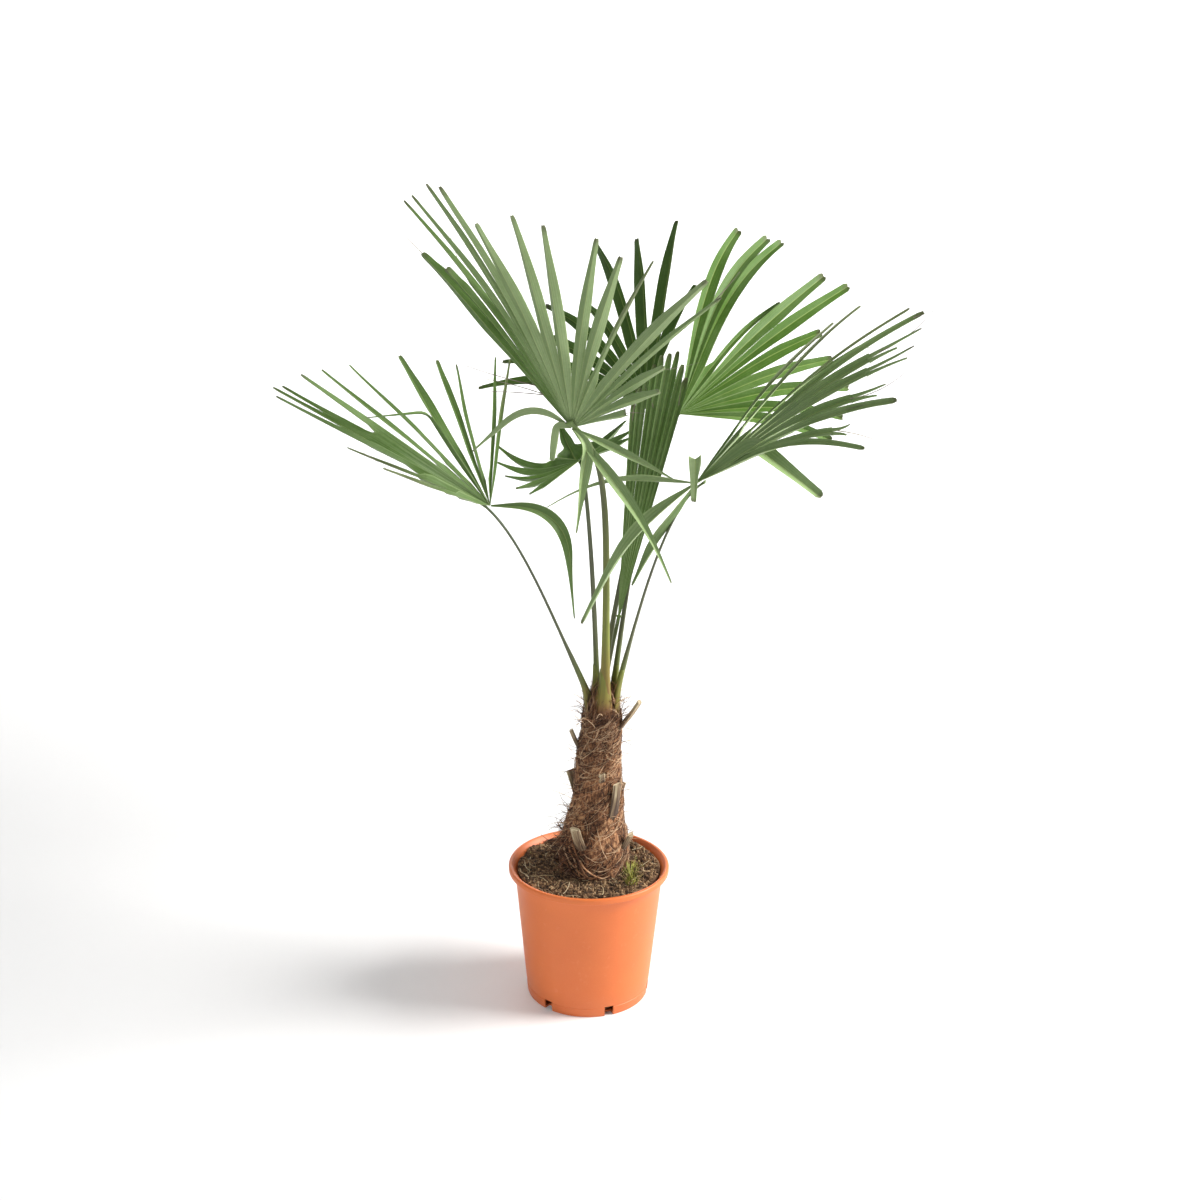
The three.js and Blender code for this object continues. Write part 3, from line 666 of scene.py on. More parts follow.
def soil_crumb():
    made, paint, shader = new_material("Soil crumbs and bark")
    patches = group_node(paint, MOTTLING, {"Patch Scale": 130.0, "Grain Scale": 900.0, "Contrast": 1.8})
    tint = paint.ramp(
        patches["Mask"],
        (0.0, colour(46, 31, 20)), (0.4, colour(94, 68, 45)),
        (0.75, colour(132, 101, 70)), (1.0, colour(176, 146, 110)),
    )
    paint.feed(shader.inputs["Base Color"], tint)
    shader.inputs["Roughness"].default_value = 0.9
    paint.feed(shader.inputs["Normal"], paint.bump(patches["Height"], 0.6, 0.001))
    return made


def streaked(name, stops, roughness, contrast, across, length, relief, tinted):
    """Plant fibre: streaks along the piece, with each strand's own tint, which on the trunk's skin also
    carries painted shade.
    """
    made, paint, shader = new_material(name)
    streaks = group_node(
        paint, FIBRE_STREAKS, {"Across Scale": across, "Along Scale": length, "Contrast": contrast}
    )
    own = paint.math("MULTIPLY", paint.math("SUBTRACT", paint.value("tint"), 0.5), tinted * 2)
    place = paint.math("ADD", streaks["Mask"], own, clamp=True)
    paint.feed(shader.inputs["Base Color"], paint.ramp(place, *stops))
    shader.inputs["Roughness"].default_value = roughness
    paint.feed(shader.inputs["Normal"], paint.bump(streaks["Height"], relief, 0.0015))
    return made


def trunk_skin():
    return streaked(
        "Matted trunk fibre",
        [
            (0.0, colour(52, 33, 21)), (0.4, colour(108, 72, 48)),
            (0.75, colour(152, 106, 72)), (1.0, colour(188, 144, 104)),
        ],
        0.95, contrast=1.2, across=80.0, length=110.0, relief=0.8, tinted=0.6,
    )


def strand_fibre():
    return streaked(
        "Loose trunk strands",
        [
            (0.0, colour(64, 39, 24)), (0.45, colour(124, 84, 56)),
            (0.75, colour(166, 120, 84)), (1.0, colour(216, 182, 146)),
        ],
        0.85, contrast=0.6, across=2.0, length=30.0, relief=0.2, tinted=0.9,
    )


def cut_base():
    return streaked(
        "Cut leaf base",
        [
            (0.0, colour(70, 54, 42)), (0.4, colour(118, 98, 76)),
            (0.7, colour(158, 140, 110)), (1.0, colour(196, 180, 148)),
        ],
        0.85, contrast=1.2, across=9.0, length=10.0, relief=0.6, tinted=0.5,
    )


def stalk_skin():
    """Rusty to yellow-green at the crown, dull grey-green above, with fine lengthwise lines."""
    made, paint, shader = new_material("Leaf stalk")
    streaks = group_node(paint, FIBRE_STREAKS, {"Across Scale": 12.0, "Along Scale": 5.0, "Contrast": 1.0})
    share = paint.value("share")
    warm = paint.ramp(
        share,
        (0.0, colour(122, 78, 34)), (0.04, colour(132, 112, 40)), (0.12, colour(122, 130, 46)),
        (0.28, colour(104, 112, 50)), (0.5, colour(92, 98, 58)), (0.9, colour(92, 110, 58)),
        (1.0, colour(112, 138, 74)),
    )
    dull = paint.ramp(
        share,
        (0.0, colour(98, 84, 42)), (0.04, colour(96, 106, 48)), (0.12, colour(84, 98, 56)),
        (0.2, colour(82, 86, 70)), (0.5, colour(80, 82, 72)), (0.93, colour(84, 92, 68)),
        (1.0, colour(108, 128, 78)),
    )
    tint = paint.mix(paint.value("warm"), dull, warm)
    tint = paint.mix(paint.math("MULTIPLY", streaks["Mask"], 0.35), tint, colour(58, 60, 46))
    paint.feed(shader.inputs["Base Color"], tint)
    shader.inputs["Roughness"].default_value = 0.5
    paint.feed(shader.inputs["Normal"], paint.bump(streaks["Height"], 0.25, 0.0008))
    return made


VEIN_COUNT = 7


def leaf_skin():
    """
    Leaflet green from deep to pale by each leaflet's tint, with parallel veins, painted shade
    on one half of each fold, a paler midrib, a chalky underside and dull brown tips.
    """
    made, paint, shader = new_material("Fan leaflet")
    shader.inputs["Specular IOR Level"].default_value = 0.22
    across = paint.value("across")
    share = paint.value("share")
    patches = group_node(paint, MOTTLING, {"Patch Scale": 16.0, "Grain Scale": 240.0, "Contrast": 1.0})
    spread = paint.math("MULTIPLY", paint.math("SUBTRACT", patches["Mask"], 0.5), 0.22)
    place = paint.math("ADD", paint.value("tint"), spread, clamp=True)
    tint = paint.ramp(
        place,
        (0.0, colour(46, 76, 17)), (0.3, colour(82, 115, 44)),
        (0.6, colour(118, 144, 88)), (1.0, colour(163, 184, 132)),
    )
    vein = paint.math("SINE", paint.math("MULTIPLY", across, 2 * math.pi * VEIN_COUNT))
    ripple = paint.math("MULTIPLY_ADD", vein, 0.5, 0.5)
    tint = paint.mix(paint.math("MULTIPLY", ripple, 0.2), tint, colour(48, 74, 28))
    # Painted shade: the half of each leaflet on one side of its fold is darker, as if turned from the light
    painted_shade_half = paint.math("MULTIPLY", paint.math("SUBTRACT", 0.53, across), 12.0, clamp=True)
    tint = paint.mix(paint.math("MULTIPLY", painted_shade_half, 0.3), tint, colour(50, 78, 30))
    middle = paint.math("ABSOLUTE", paint.math("SUBTRACT", across, 0.5))
    rib = paint.math("SUBTRACT", 1.0, paint.math("MULTIPLY", middle, 20.0), clamp=True)
    tint = paint.mix(paint.math("MULTIPLY", rib, 0.5), tint, colour(166, 180, 112))
    seam = paint.math("MULTIPLY", paint.math("SUBTRACT", middle, 0.42), 14.0, clamp=True)
    inner = paint.math("MULTIPLY", paint.math("SUBTRACT", 0.6, share), 2.5, clamp=True)
    seam = paint.math("MULTIPLY", paint.math("MULTIPLY", seam, inner), 0.6)
    tint = paint.mix(seam, tint, colour(172, 190, 134))
    chalk = paint.math("MULTIPLY", paint.math("MULTIPLY", paint.value("under"), 0.4), place)
    tint = paint.mix(chalk, tint, colour(136, 152, 112))
    edge = paint.math("MULTIPLY_ADD", patches["Mask"], 0.05, 0.93)
    dry = paint.math("MULTIPLY", paint.math("SUBTRACT", share, edge), 16.0, clamp=True)
    aged = paint.math("MULTIPLY", paint.math("SUBTRACT", share, 0.4), 3.0, clamp=True)
    dry = paint.math("MAXIMUM", dry, paint.math("MULTIPLY", aged, paint.value("dry")))
    dead = paint.mix(patches["Mask"], colour(70, 60, 50), colour(104, 94, 78))
    paint.feed(shader.inputs["Base Color"], paint.mix(paint.math("MULTIPLY", dry, 0.85), tint, dead))
    paint.feed(shader.inputs["Roughness"], paint.math("MULTIPLY_ADD", patches["Mask"], 0.14, 0.4))
    height = paint.math("MULTIPLY_ADD", ripple, 0.6, paint.math("MULTIPLY", patches["Height"], 0.4))
    paint.feed(shader.inputs["Normal"], paint.bump(height, 0.35, 0.0006))
    shader.inputs["Subsurface Weight"].default_value = 0.06
    shader.inputs["Subsurface Radius"].default_value = (0.002, 0.004, 0.001)
    return made


def dry_thread():
    made, paint, shader = new_material("Dry leaf thread")
    patches = group_node(paint, MOTTLING, {"Patch Scale": 40.0, "Grain Scale": 300.0, "Contrast": 1.0})
    tint = paint.mix(patches["Mask"], colour(96, 88, 78), colour(150, 142, 124))
    paint.feed(shader.inputs["Base Color"], tint)
    shader.inputs["Roughness"].default_value = 0.8
    return made


def moss_green():
    made, paint, shader = new_material("Weed leaves")
    patches = group_node(paint, MOTTLING, {"Patch Scale": 90.0, "Grain Scale": 500.0, "Contrast": 1.2})
    tint = paint.mix(patches["Mask"], colour(118, 120, 42), colour(178, 174, 86))
    paint.feed(shader.inputs["Base Color"], tint)
    shader.inputs["Roughness"].default_value = 0.7
    return made


def straw():
    return streaked(
        "Straw and bark slivers",
        [
            (0.0, colour(92, 70, 50)), (0.4, colour(150, 124, 92)),
            (0.8, colour(198, 176, 136)), (1.0, colour(226, 208, 172)),
        ],
        0.8, contrast=0.6, across=3.0, length=20.0, relief=0.3, tinted=0.8,
    )


# Geometry Nodes trees


class Growth(Paint):
    """A Geometry Nodes tree under construction, with named inputs."""

    def __init__(self, name, inputs):
        super().__init__(bpy.data.node_groups.new(name, "GeometryNodeTree"))
        face = self.tree.interface
        face.new_socket("Geometry", in_out="OUTPUT", socket_type="NodeSocketGeometry")
        face.new_socket("Geometry", in_out="INPUT", socket_type="NodeSocketGeometry")
        for label, (kind, default) in inputs.items():
            socket = face.new_socket(label, in_out="INPUT", socket_type=kind)
            if default is not None:
                socket.default_value = default
        self.given = self.tree.nodes.new("NodeGroupInput").outputs
        self.out = self.tree.nodes.new("NodeGroupOutput").inputs

    def step(self, kind, inputs=None, **settings):
        """The outputs of a new node."""
        return self.node(kind, inputs, **settings).outputs

    def end(self, geometry):
        """Makes the copies real, sets the material and gives the result."""
        real = self.step("GeometryNodeRealizeInstances", {"Geometry": geometry})
        done = self.step(
            "GeometryNodeSetMaterial", {"Geometry": real["Geometry"], "Material": self.given["Material"]}
        )
        self.tree.links.new(done["Geometry"], self.out["Geometry"])


def strands_tree():
    """Tubes along the edges of a mesh of paths; each point's own radius widens or narrows them."""
    grow = Growth(
        "Strands along paths",
        {
            "Sides": ("NodeSocketInt", 3), "Flatness": ("NodeSocketFloat", 1.0),
            "Material": ("NodeSocketMaterial", None),
        },
    )
    paths = grow.step("GeometryNodeMeshToCurve", {"Mesh": grow.given["Geometry"]})
    radius = grow.step("GeometryNodeInputNamedAttribute", {"Name": "radius"}, data_type="FLOAT")
    circle = grow.step("GeometryNodeCurvePrimitiveCircle", {"Resolution": grow.given["Sides"], "Radius": 1.0})
    squash = grow.step("ShaderNodeCombineXYZ", {"X": 1.0, "Y": grow.given["Flatness"], "Z": 1.0})
    outline = grow.step("GeometryNodeTransform", {"Geometry": circle["Curve"], "Scale": squash["Vector"]})
    tubes = grow.step(
        "GeometryNodeCurveToMesh",
        {
            "Curve": paths["Curve"], "Profile Curve": outline["Geometry"],
            "Scale": radius["Attribute"], "Fill Caps": True,
        },
    )
    grow.end(tubes["Mesh"])
    return grow.tree


def scatter_tree():
    """Copies of small pieces spread over a surface at random, turned and sized at random."""
    grow = Growth(
        "Scattered pieces",
        {
            "Pieces": ("NodeSocketCollection", None), "Density": ("NodeSocketFloat", 1000.0),
            "Smallest": ("NodeSocketFloat", 0.5), "Largest": ("NodeSocketFloat", 1.5),
            "Tilt": ("NodeSocketFloat", 0.4), "Seed": ("NodeSocketInt", 1),
            "Material": ("NodeSocketMaterial", None),
        },
    )
    spread = grow.step(
        "GeometryNodeDistributePointsOnFaces",
        {"Mesh": grow.given["Geometry"], "Density": grow.given["Density"], "Seed": grow.given["Seed"]},
    )
    pieces = grow.step(
        "GeometryNodeCollectionInfo",
        {"Collection": grow.given["Pieces"], "Separate Children": True, "Reset Children": True},
    )
    tilt = grow.step("ShaderNodeMath", {0: grow.given["Tilt"], 1: -1.0}, operation="MULTIPLY")
    low = grow.step("ShaderNodeCombineXYZ", {"X": tilt["Value"], "Y": tilt["Value"], "Z": -math.pi})
    high = grow.step("ShaderNodeCombineXYZ", {"X": grow.given["Tilt"], "Y": grow.given["Tilt"], "Z": math.pi})
    way = grow.step(
        "FunctionNodeRandomValue",
        {"Min": low["Vector"], "Max": high["Vector"], "Seed": grow.given["Seed"]}, data_type="FLOAT_VECTOR",
    )
    sizes = {2: grow.given["Smallest"], 3: grow.given["Largest"], "Seed": grow.given["Seed"]}
    size = grow.step("FunctionNodeRandomValue", sizes, data_type="FLOAT")
    copies = grow.step(
        "GeometryNodeInstanceOnPoints",
        {
            "Points": spread["Points"], "Instance": pieces["Instances"], "Pick Instance": True,
            "Rotation": way["Value"], "Scale": size[1],
        },
    )
    grow.end(copies["Instances"])
    return grow.tree


def grown(piece, tree, name, **inputs):
    """The piece after a Geometry Nodes tree with these inputs, as a plain mesh object."""
    modifier = piece.modifiers.new("growth", "NODES")
    modifier.node_group = tree
    sockets = {s.name: s.identifier for s in tree.interface.items_tree if s.in_out == "INPUT"}
    for key, value in inputs.items():
        modifier[sockets[key.replace("_", " ").title()]] = value
    return baked(piece, name)


STRANDS = strands_tree()
SCATTER = scatter_tree()


def drifting(start, heading, drift, length, steps):
    """Points from start along a heading that turns a little towards drift at every step."""
    points = [start]
    for _ in range(steps):
        heading = (heading + drift).normalized()
        points.append(points[-1] + heading * length / steps)
    return points


class Paths:
    """Many paths in one mesh of edges, for the strands tree."""

    def __init__(self):
        self.points = []
        self.edges = []
        self.values = {"radius": [], "tint": [], "length": [], "across": [], "seed": []}

    def add(self, points, radius, tint, seed, taper=0.35):
        start = len(self.points)
        count = len(points)
        run = 0.0
        for i, point in enumerate(points):
            if i:
                run += (point - points[i - 1]).length * MM
            share = i / (count - 1)
            self.points.append(point)
            self.values["radius"].append(radius * MM * lerp(1.0, taper, share))
            self.values["tint"].append(tint)
            self.values["length"].append(run)
            self.values["across"].append(0.5)
            self.values["seed"].append(seed)
        self.edges.extend((start + i, start + i + 1) for i in range(count - 1))

    def build(self, name, material, sides=3, flatness=1.0):
        mesh = bpy.data.meshes.new(name)
        mesh.from_pydata([tuple(p * MM) for p in self.points], self.edges, [])
        for key, numbers in self.values.items():
            mesh.attributes.new(key, "FLOAT", "POINT").data.foreach_set("value", numbers)
        piece = bpy.data.objects.new(name + "_paths", mesh)
        bpy.context.scene.collection.objects.link(piece)
        made = grown(piece, STRANDS, name, sides=sides, flatness=flatness, material=material)
        made.data.shade_smooth()
        return made


# Pot


def pot_wall_radius(height):
    return lerp(POT_FOOT_RADIUS, POT_TOP_RADIUS, height / (POT_HEIGHT - LIP_HEIGHT))


def pot_profile():
    """The shell's (radius, height) pairs: underside, wall, round the lip, inner wall, floor."""
    lip_foot = POT_HEIGHT - LIP_HEIGHT
    band_radius = pot_wall_radius(FOOT_BAND_HEIGHT)
    profile = [(0, 0)]
    profile += [(POT_FOOT_RADIUS + out, up) for out, up in FOOT_EDGE]
    profile.append((band_radius, FOOT_BAND_HEIGHT))
    profile.append((band_radius - FOOT_BAND_STEP, FOOT_BAND_HEIGHT + FOOT_BAND_STEP))
    for step in range(WALL_STEPS + 1):
        height = lerp(FOOT_BAND_HEIGHT + FOOT_BAND_FADE, lip_foot - WALL_TOP_DROP, step / WALL_STEPS)
        profile.append((pot_wall_radius(height), height))
    profile += [(POT_TOP_RADIUS + out, lip_foot + up) for out, up in LIP_FOOT_EDGE]
    for radius, height, start in (
        (LIP_UNDER_ROUNDING, lip_foot + LIP_UNDER_ROUNDING, -90),
        (LIP_ROUNDING, POT_HEIGHT - LIP_ROUNDING, 0),
    ):
        for step in range(ROUNDING_STEPS + 1):
            turn = math.radians(start + 90 * step / ROUNDING_STEPS)
            profile.append((LIP_RADIUS - radius + radius * math.cos(turn), height + radius * math.sin(turn)))
    inner = LIP_RADIUS - POT_WALL - LIP_ROUNDING
    profile.append((inner + LIP_BEVEL, POT_HEIGHT))
    profile.append((inner, POT_HEIGHT - LIP_BEVEL_DROP))
    profile.append((pot_wall_radius(lip_foot) - POT_WALL, lip_foot))
    profile.append((pot_wall_radius(POT_FLOOR) - POT_WALL, POT_FLOOR))
    profile.append((0, POT_FLOOR))
    return profile


def notch_cutters():
    """A box for each drain notch, across the wall at the foot."""
    half = NOTCH_WIDTH / 2
    corners = [(-half, -NOTCH_BELOW), (half, -NOTCH_BELOW), (half, NOTCH_HEIGHT), (-half, NOTCH_HEIGHT)]
    cutters = Shape()
    for i in range(NOTCH_COUNT):
        spin = Matrix.Rotation(math.radians(NOTCH_FIRST_TURN + i * 360 / NOTCH_COUNT), 3, "Z")
        points = []
        for depth in (-POT_FOOT_RADIUS - NOTCH_DEPTH, -POT_FOOT_RADIUS + NOTCH_DEPTH):
            points += [spin @ Vector((side, depth, height)) for side, height in corners]
        cutters.add(points, ring_faces(2, len(corners)))
    return cutters.build("notch_cutters", smooth=False)


def make_pot(material):
    """The shell with a rolled lip and a slightly stepped foot, notched round its foot."""
    pot = turned_profile(pot_profile(), POT_SIDES).build("pot_turned")
    recalculate(pot)
    cutter = notch_cutters()
    recalculate(cutter)
    cut = pot.modifiers.new("notches", "BOOLEAN")
    cut.operation = "DIFFERENCE"
    cut.solver = "EXACT"
    cut.object = cutter
    made = baked(pot, "pot_shell")
    bpy.data.objects.remove(cutter, do_unlink=True)
    made.data.set_sharp_from_angle(angle=math.radians(40))
    finish_piece(made, material, "pot", "pot")


# Soil


def soil_height(x, y):
    radius = math.hypot(x, y)
    share = smoothstep(radius, SOIL_FLAT_RADIUS, SOIL_FLAT_RADIUS + 14)
    lumps = math.sin(x / 9) * math.cos(y / 11) + 0.6 * math.sin((x + 2 * y) / 17)
    fine = noise.fractal(Vector((x, y, 3)) / 9, 1.0, 2.0, 4) * 1.6
    return SOIL_LUMP * share * lumps + fine * smoothstep(radius, 30, 60)


def soil_top(x, y):
    return SOIL_LEVEL + soil_height(x, y)


def make_soil(material, rim):
    """The filled bed: set in at its foot to clear the notches, and lumpy on top."""
    foot = pot_wall_radius(POT_FLOOR) - SOIL_FOOT_INSET
    profile = [(0, POT_FLOOR + GAP), (foot, POT_FLOOR + GAP), (foot, SOIL_FOOT_TOP)]
    profile.append((pot_wall_radius(SOIL_WALL_FROM) - POT_WALL - GAP, SOIL_WALL_FROM))
    profile.append((rim - SOIL_RIM_ROOM, SOIL_LEVEL - SOIL_RIM_DROP))
    for i in range(SOIL_RINGS):
        profile.append((lerp(rim, 3, i / (SOIL_RINGS - 1)), SOIL_LEVEL))
    profile.append((0, SOIL_LEVEL))
    shape = turned_profile(profile, SOIL_SIDES)
    for point in shape.points:
        if point.z > SOIL_LEVEL - 0.1:
            point.z = soil_top(point.x, point.y)
    soil = shape.build("soil_bed")
    finish_piece(soil, material, "soil", "soil")


def make_crumbs(material, rim):
    """Loose bark and peat, scattered over a ring that follows the bed's top."""
    points = []
    for r in range(CRUMB_BED_RINGS):
        radius = lerp(CRUMB_INNER_RADIUS, rim - 2, r / (CRUMB_BED_RINGS - 1))
        for turn in turns_round(CRUMB_BED_SIDES):
            x = radius * math.cos(turn)
            y = radius * math.sin(turn)
            points.append(Vector((x, y, soil_top(x, y) + 0.5)))
    tube = ring_faces(CRUMB_BED_RINGS, CRUMB_BED_SIDES, closed_ends=False)
    faces = [(a, d, c, b) for a, b, c, d in tube]
    bed = Shape()
    bed.add(points, faces)
    area = math.pi * ((rim * MM) ** 2 - (CRUMB_INNER_RADIUS * MM) ** 2)
    loose = crumb_shapes()
    made = grown(
        bed.build("soil_top"), SCATTER, "soil_crumbs", pieces=loose, density=CRUMB_COUNT / area,
        smallest=CRUMB_SIZES[0], largest=CRUMB_SIZES[1], tilt=1.5, seed=4, material=material,
    )
    for piece in list(loose.objects):
        bpy.data.objects.remove(piece, do_unlink=True)
    bpy.data.collections.remove(loose)
    made.data.shade_smooth()
    finish_piece(made, material, "soil")


def crumb_shapes():
    """A few uneven lumps of bark and peat, the copies of which cover the soil."""
    dice = random.Random(21)
    loose = bpy.data.collections.new("crumb_shapes")
    bpy.context.scene.collection.children.link(loose)
    for number in range(CRUMB_KINDS):
        mesh = bpy.data.meshes.new(f"crumb_{number}")
        lump = bmesh.new()
        bmesh.ops.create_icosphere(lump, subdivisions=1, radius=CRUMB_RADIUS * MM)
        long = dice.uniform(1.0, 2.2)
        flat = dice.uniform(0.45, 0.9)
        for v in lump.verts:
            push = 1 + dice.uniform(-0.3, 0.3)
            v.co = Vector((v.co.x * long, v.co.y, v.co.z * flat)) * push
        lump.to_mesh(mesh)
        lump.free()
        piece = bpy.data.objects.new(f"crumb_{number}", mesh)
        loose.objects.link(piece)
    return loose


def make_litter(material, rim):
    """Straw, bark slivers and root fibres lying on the soil."""
    dice = random.Random(8)
    paths = Paths()
    for number in range(LITTER_COUNT):
        turn = dice.uniform(0, 2 * math.pi)
        radius = dice.uniform(LITTER_INNER_RADIUS, rim - LITTER_RIM_ROOM)
        centre = Vector((radius * math.cos(turn), radius * math.sin(turn), 0))
        way = dice.uniform(0, 2 * math.pi)
        length = dice.uniform(*LITTER_LENGTHS) * (LITTER_LONG if number % 9 == 0 else 1)
        curl = dice.uniform(-LITTER_CURL, LITTER_CURL)
        lift = dice.uniform(*LITTER_LIFTS)
        tip = dice.uniform(0, LITTER_TIP_LIFT)
        points = []
        for step in range(LITTER_STEPS + 1):
            share = step / LITTER_STEPS - 0.5
            heading = way + curl * share * 2
            spot = centre + Vector((math.cos(heading), math.sin(heading), 0)) * length * share
            if spot.length > rim - 3:
                spot *= (rim - 3) / spot.length
            spot.z = soil_top(spot.x, spot.y) + lift + tip * (share + 0.5) ** 2
            points.append(spot)
        paths.add(points, dice.uniform(*LITTER_RADII), dice.random(), number * 1.7, taper=0.6)
    made = paths.build("soil_litter", material, sides=4, flatness=0.5)
    finish_piece(made, material, "soil")


def make_weed(material):
    """The small yellow-green weed that grows by the trunk at the front right."""
    dice = random.Random(5)
    shape = Shape()
    for _ in range(WEED_BLADES):
        turn = dice.uniform(0, 2 * math.pi)
        out = dice.uniform(0, 1) ** 0.6
        x = WEED_PLACE[0] + WEED_SPREAD[0] * out * math.cos(turn)
        y = WEED_PLACE[1] + WEED_SPREAD[1] * out * math.sin(turn)
        foot = Vector((x, y, soil_top(x, y)))
        length = dice.uniform(*WEED_LENGTHS) * (1.15 - 0.5 * out)
        lean = Vector((math.cos(turn), math.sin(turn), 0)) * dice.uniform(*WEED_LEANS)
        side = Vector((-math.sin(turn), math.cos(turn), 0))
        width = dice.uniform(*WEED_WIDTHS)
        points = []
        for step in range(WEED_STEPS):
            share = step / (WEED_STEPS - 1)
            spot = foot + (UP + lean * share) * length * share
            half = width * (1 - share) + 0.15
            points.extend([spot - side * half, spot + side * half, spot + lean * 0.4 + UP * 0.3])
        shape.add(points, ring_faces(WEED_STEPS, 3))
    made = shape.build("weed_tuft")
    recalculate(made)
    finish_piece(made, material, "soil")


def recalculate(piece):
    """Turns the faces of each closed part outwards."""
    work = bmesh.new()
    work.from_mesh(piece.data)
    bmesh.ops.recalc_face_normals(work, faces=work.faces)
    work.to_mesh(piece.data)
    work.free()


# Trunk


def trunk_centre(height):
    return lerp(TRUNK_FOOT_X, TRUNK_TOP_X, height / TRUNK_HEIGHT)


def trunk_radius(height):
    for (low, small), (high, large) in zip(TRUNK_RINGS, TRUNK_RINGS[1:]):
        if height <= high:
            return lerp(small, large, max(height - low, 0) / (high - low))
    return TRUNK_RINGS[-1][1]


def old_bases():
    """Where the matted remains of old leaf bases stand out: (turn, foot height, width, length)."""
    dice = random.Random(13)
    bases = []
    for number in range(OLD_BASE_COUNT):
        turn = math.radians(GOLDEN_TURN * number + 20)
        height = lerp(-8, TRUNK_HEIGHT - 66, number / (OLD_BASE_COUNT - 1))
        bases.append((turn, height, dice.uniform(0.85, 1.15), dice.uniform(78, 96)))
    return bases


OLD_BASES = old_bases()


def turn_between(turn, other):
    """The signed angle from one turn to another, at most half a turn."""
    return (turn - other + math.pi) % (2 * math.pi) - math.pi


def foot_hollow(turn, height):
    """The hollow between old leaf bases at the front left of the foot, 0 to 1; its darkness on the trunk's
    skin is painted shade.
    """
    away = turn_between(turn, math.radians(HOLLOW_TURN))
    return (1 - smoothstep(abs(away), 0.12, 0.5)) * (1 - smoothstep(abs(height - HOLLOW_HEIGHT), 8, 26))


def trunk_relief(turn, height):
    """How far the skin stands out from the trunk's own radius."""
    out = 0.0
    for base_turn, foot, wide, length in OLD_BASES:
        away = turn_between(turn, base_turn)
        rise = (height - foot) / length
        if -0.05 < rise < 1.05:
            half = wide * lerp(0.95, 0.28, min(max(rise, 0), 1))
            body = smoothstep(half - abs(away), 0, 0.22)
            lift = smoothstep(rise, -0.05, 0.12) * (1 - smoothstep(rise, 0.82, 1.05))
            out = max(out, body * lift * lerp(1.4, 3.8, rise))
    place = Vector((math.cos(turn) * 2.2, math.sin(turn) * 2.2, height / 42))
    streak = Vector((math.cos(turn) * 16, math.sin(turn) * 16, height / 26))
    hollow = HOLLOW_DEPTH * foot_hollow(turn, height)
    return out - 1.2 - hollow + 1.9 * noise.noise(place) + 1.1 * noise.noise(streak)


def trunk_place(turn, height, out):
    """The place at a turn and a height, out from the trunk's own radius."""
    radius = trunk_radius(height) + out
    z = TRUNK_FOOT_HEIGHT + height
    return Vector((trunk_centre(height) + radius * math.cos(turn), radius * math.sin(turn), z))


def make_trunk(material):
    shape = Shape()
    points, tint, across, length = [], [], [], []
    for r in range(TRUNK_ROWS):
        height = TRUNK_HEIGHT * r / (TRUNK_ROWS - 1)
        for i, turn in enumerate(turns_round(TRUNK_SIDES)):
            out = trunk_relief(turn, height)
            points.append(trunk_place(turn, height, out))
            # Painted shade: the skin's tint is darker where it sinks in, and darkest in the hollow at the
            # foot
            tint.append(min(max(0.5 + out / 9 - 0.8 * foot_hollow(turn, height), 0), 1))
            across.append(0.5 - abs(i / TRUNK_SIDES - 0.5))
            length.append(height * MM)
    faces = ring_faces(TRUNK_ROWS, TRUNK_SIDES)
    shape.add(points, faces, tint=tint, across=across, length=length, seed=0.0)
    made = shape.build("trunk_skin")
    finish_piece(made, material, "trunk_fibre", "trunk")


def make_strands(material):
    """Fibres of the old leaf sheaths: they cross each other in a slanting mesh round the trunk."""
    dice = random.Random(31)
    paths = Paths()
    for number in range(STRAND_COUNT):
        height = dice.uniform(*(STRAND_HEIGHTS if number % 4 else STRAND_UPPER_HEIGHTS))
        turn = dice.uniform(0, 2 * math.pi)
        length = dice.uniform(*STRAND_LENGTHS)
        slope = dice.choice((-1, 1)) * dice.uniform(*STRAND_SLOPES)
        rise = math.sin(slope) if number % 9 else 0.95
        lean = math.cos(slope) if number % 9 else 0.3 * math.copysign(1, slope)
        sag = dice.uniform(*STRAND_SAGS)
        points = []
        wave = dice.uniform(0, 6)
        stand = dice.uniform(0.2, 1.6)
        for step in range(STRAND_STEPS + 1):
            share = step / STRAND_STEPS
            at = height + abs(rise) * length * share - sag * abs(lean) * math.sin(math.pi * share)
            at = min(max(at, 0.6), TRUNK_HEIGHT - 0.5)
            way = turn + (lean * length * share + 1.5 * math.sin(wave + 5 * share)) / trunk_radius(at)
            out = trunk_relief(way, at) + stand + 1.2 * math.sin(math.pi * share)
            points.append(trunk_place(way, at, out))
        thick = dice.choice(STRAND_RADII)
        paths.add(points, thick, dice.random() ** 1.3, number * 0.9)
    made = paths.build("trunk_strands", material)
    finish_piece(made, material, "trunk_fibre")


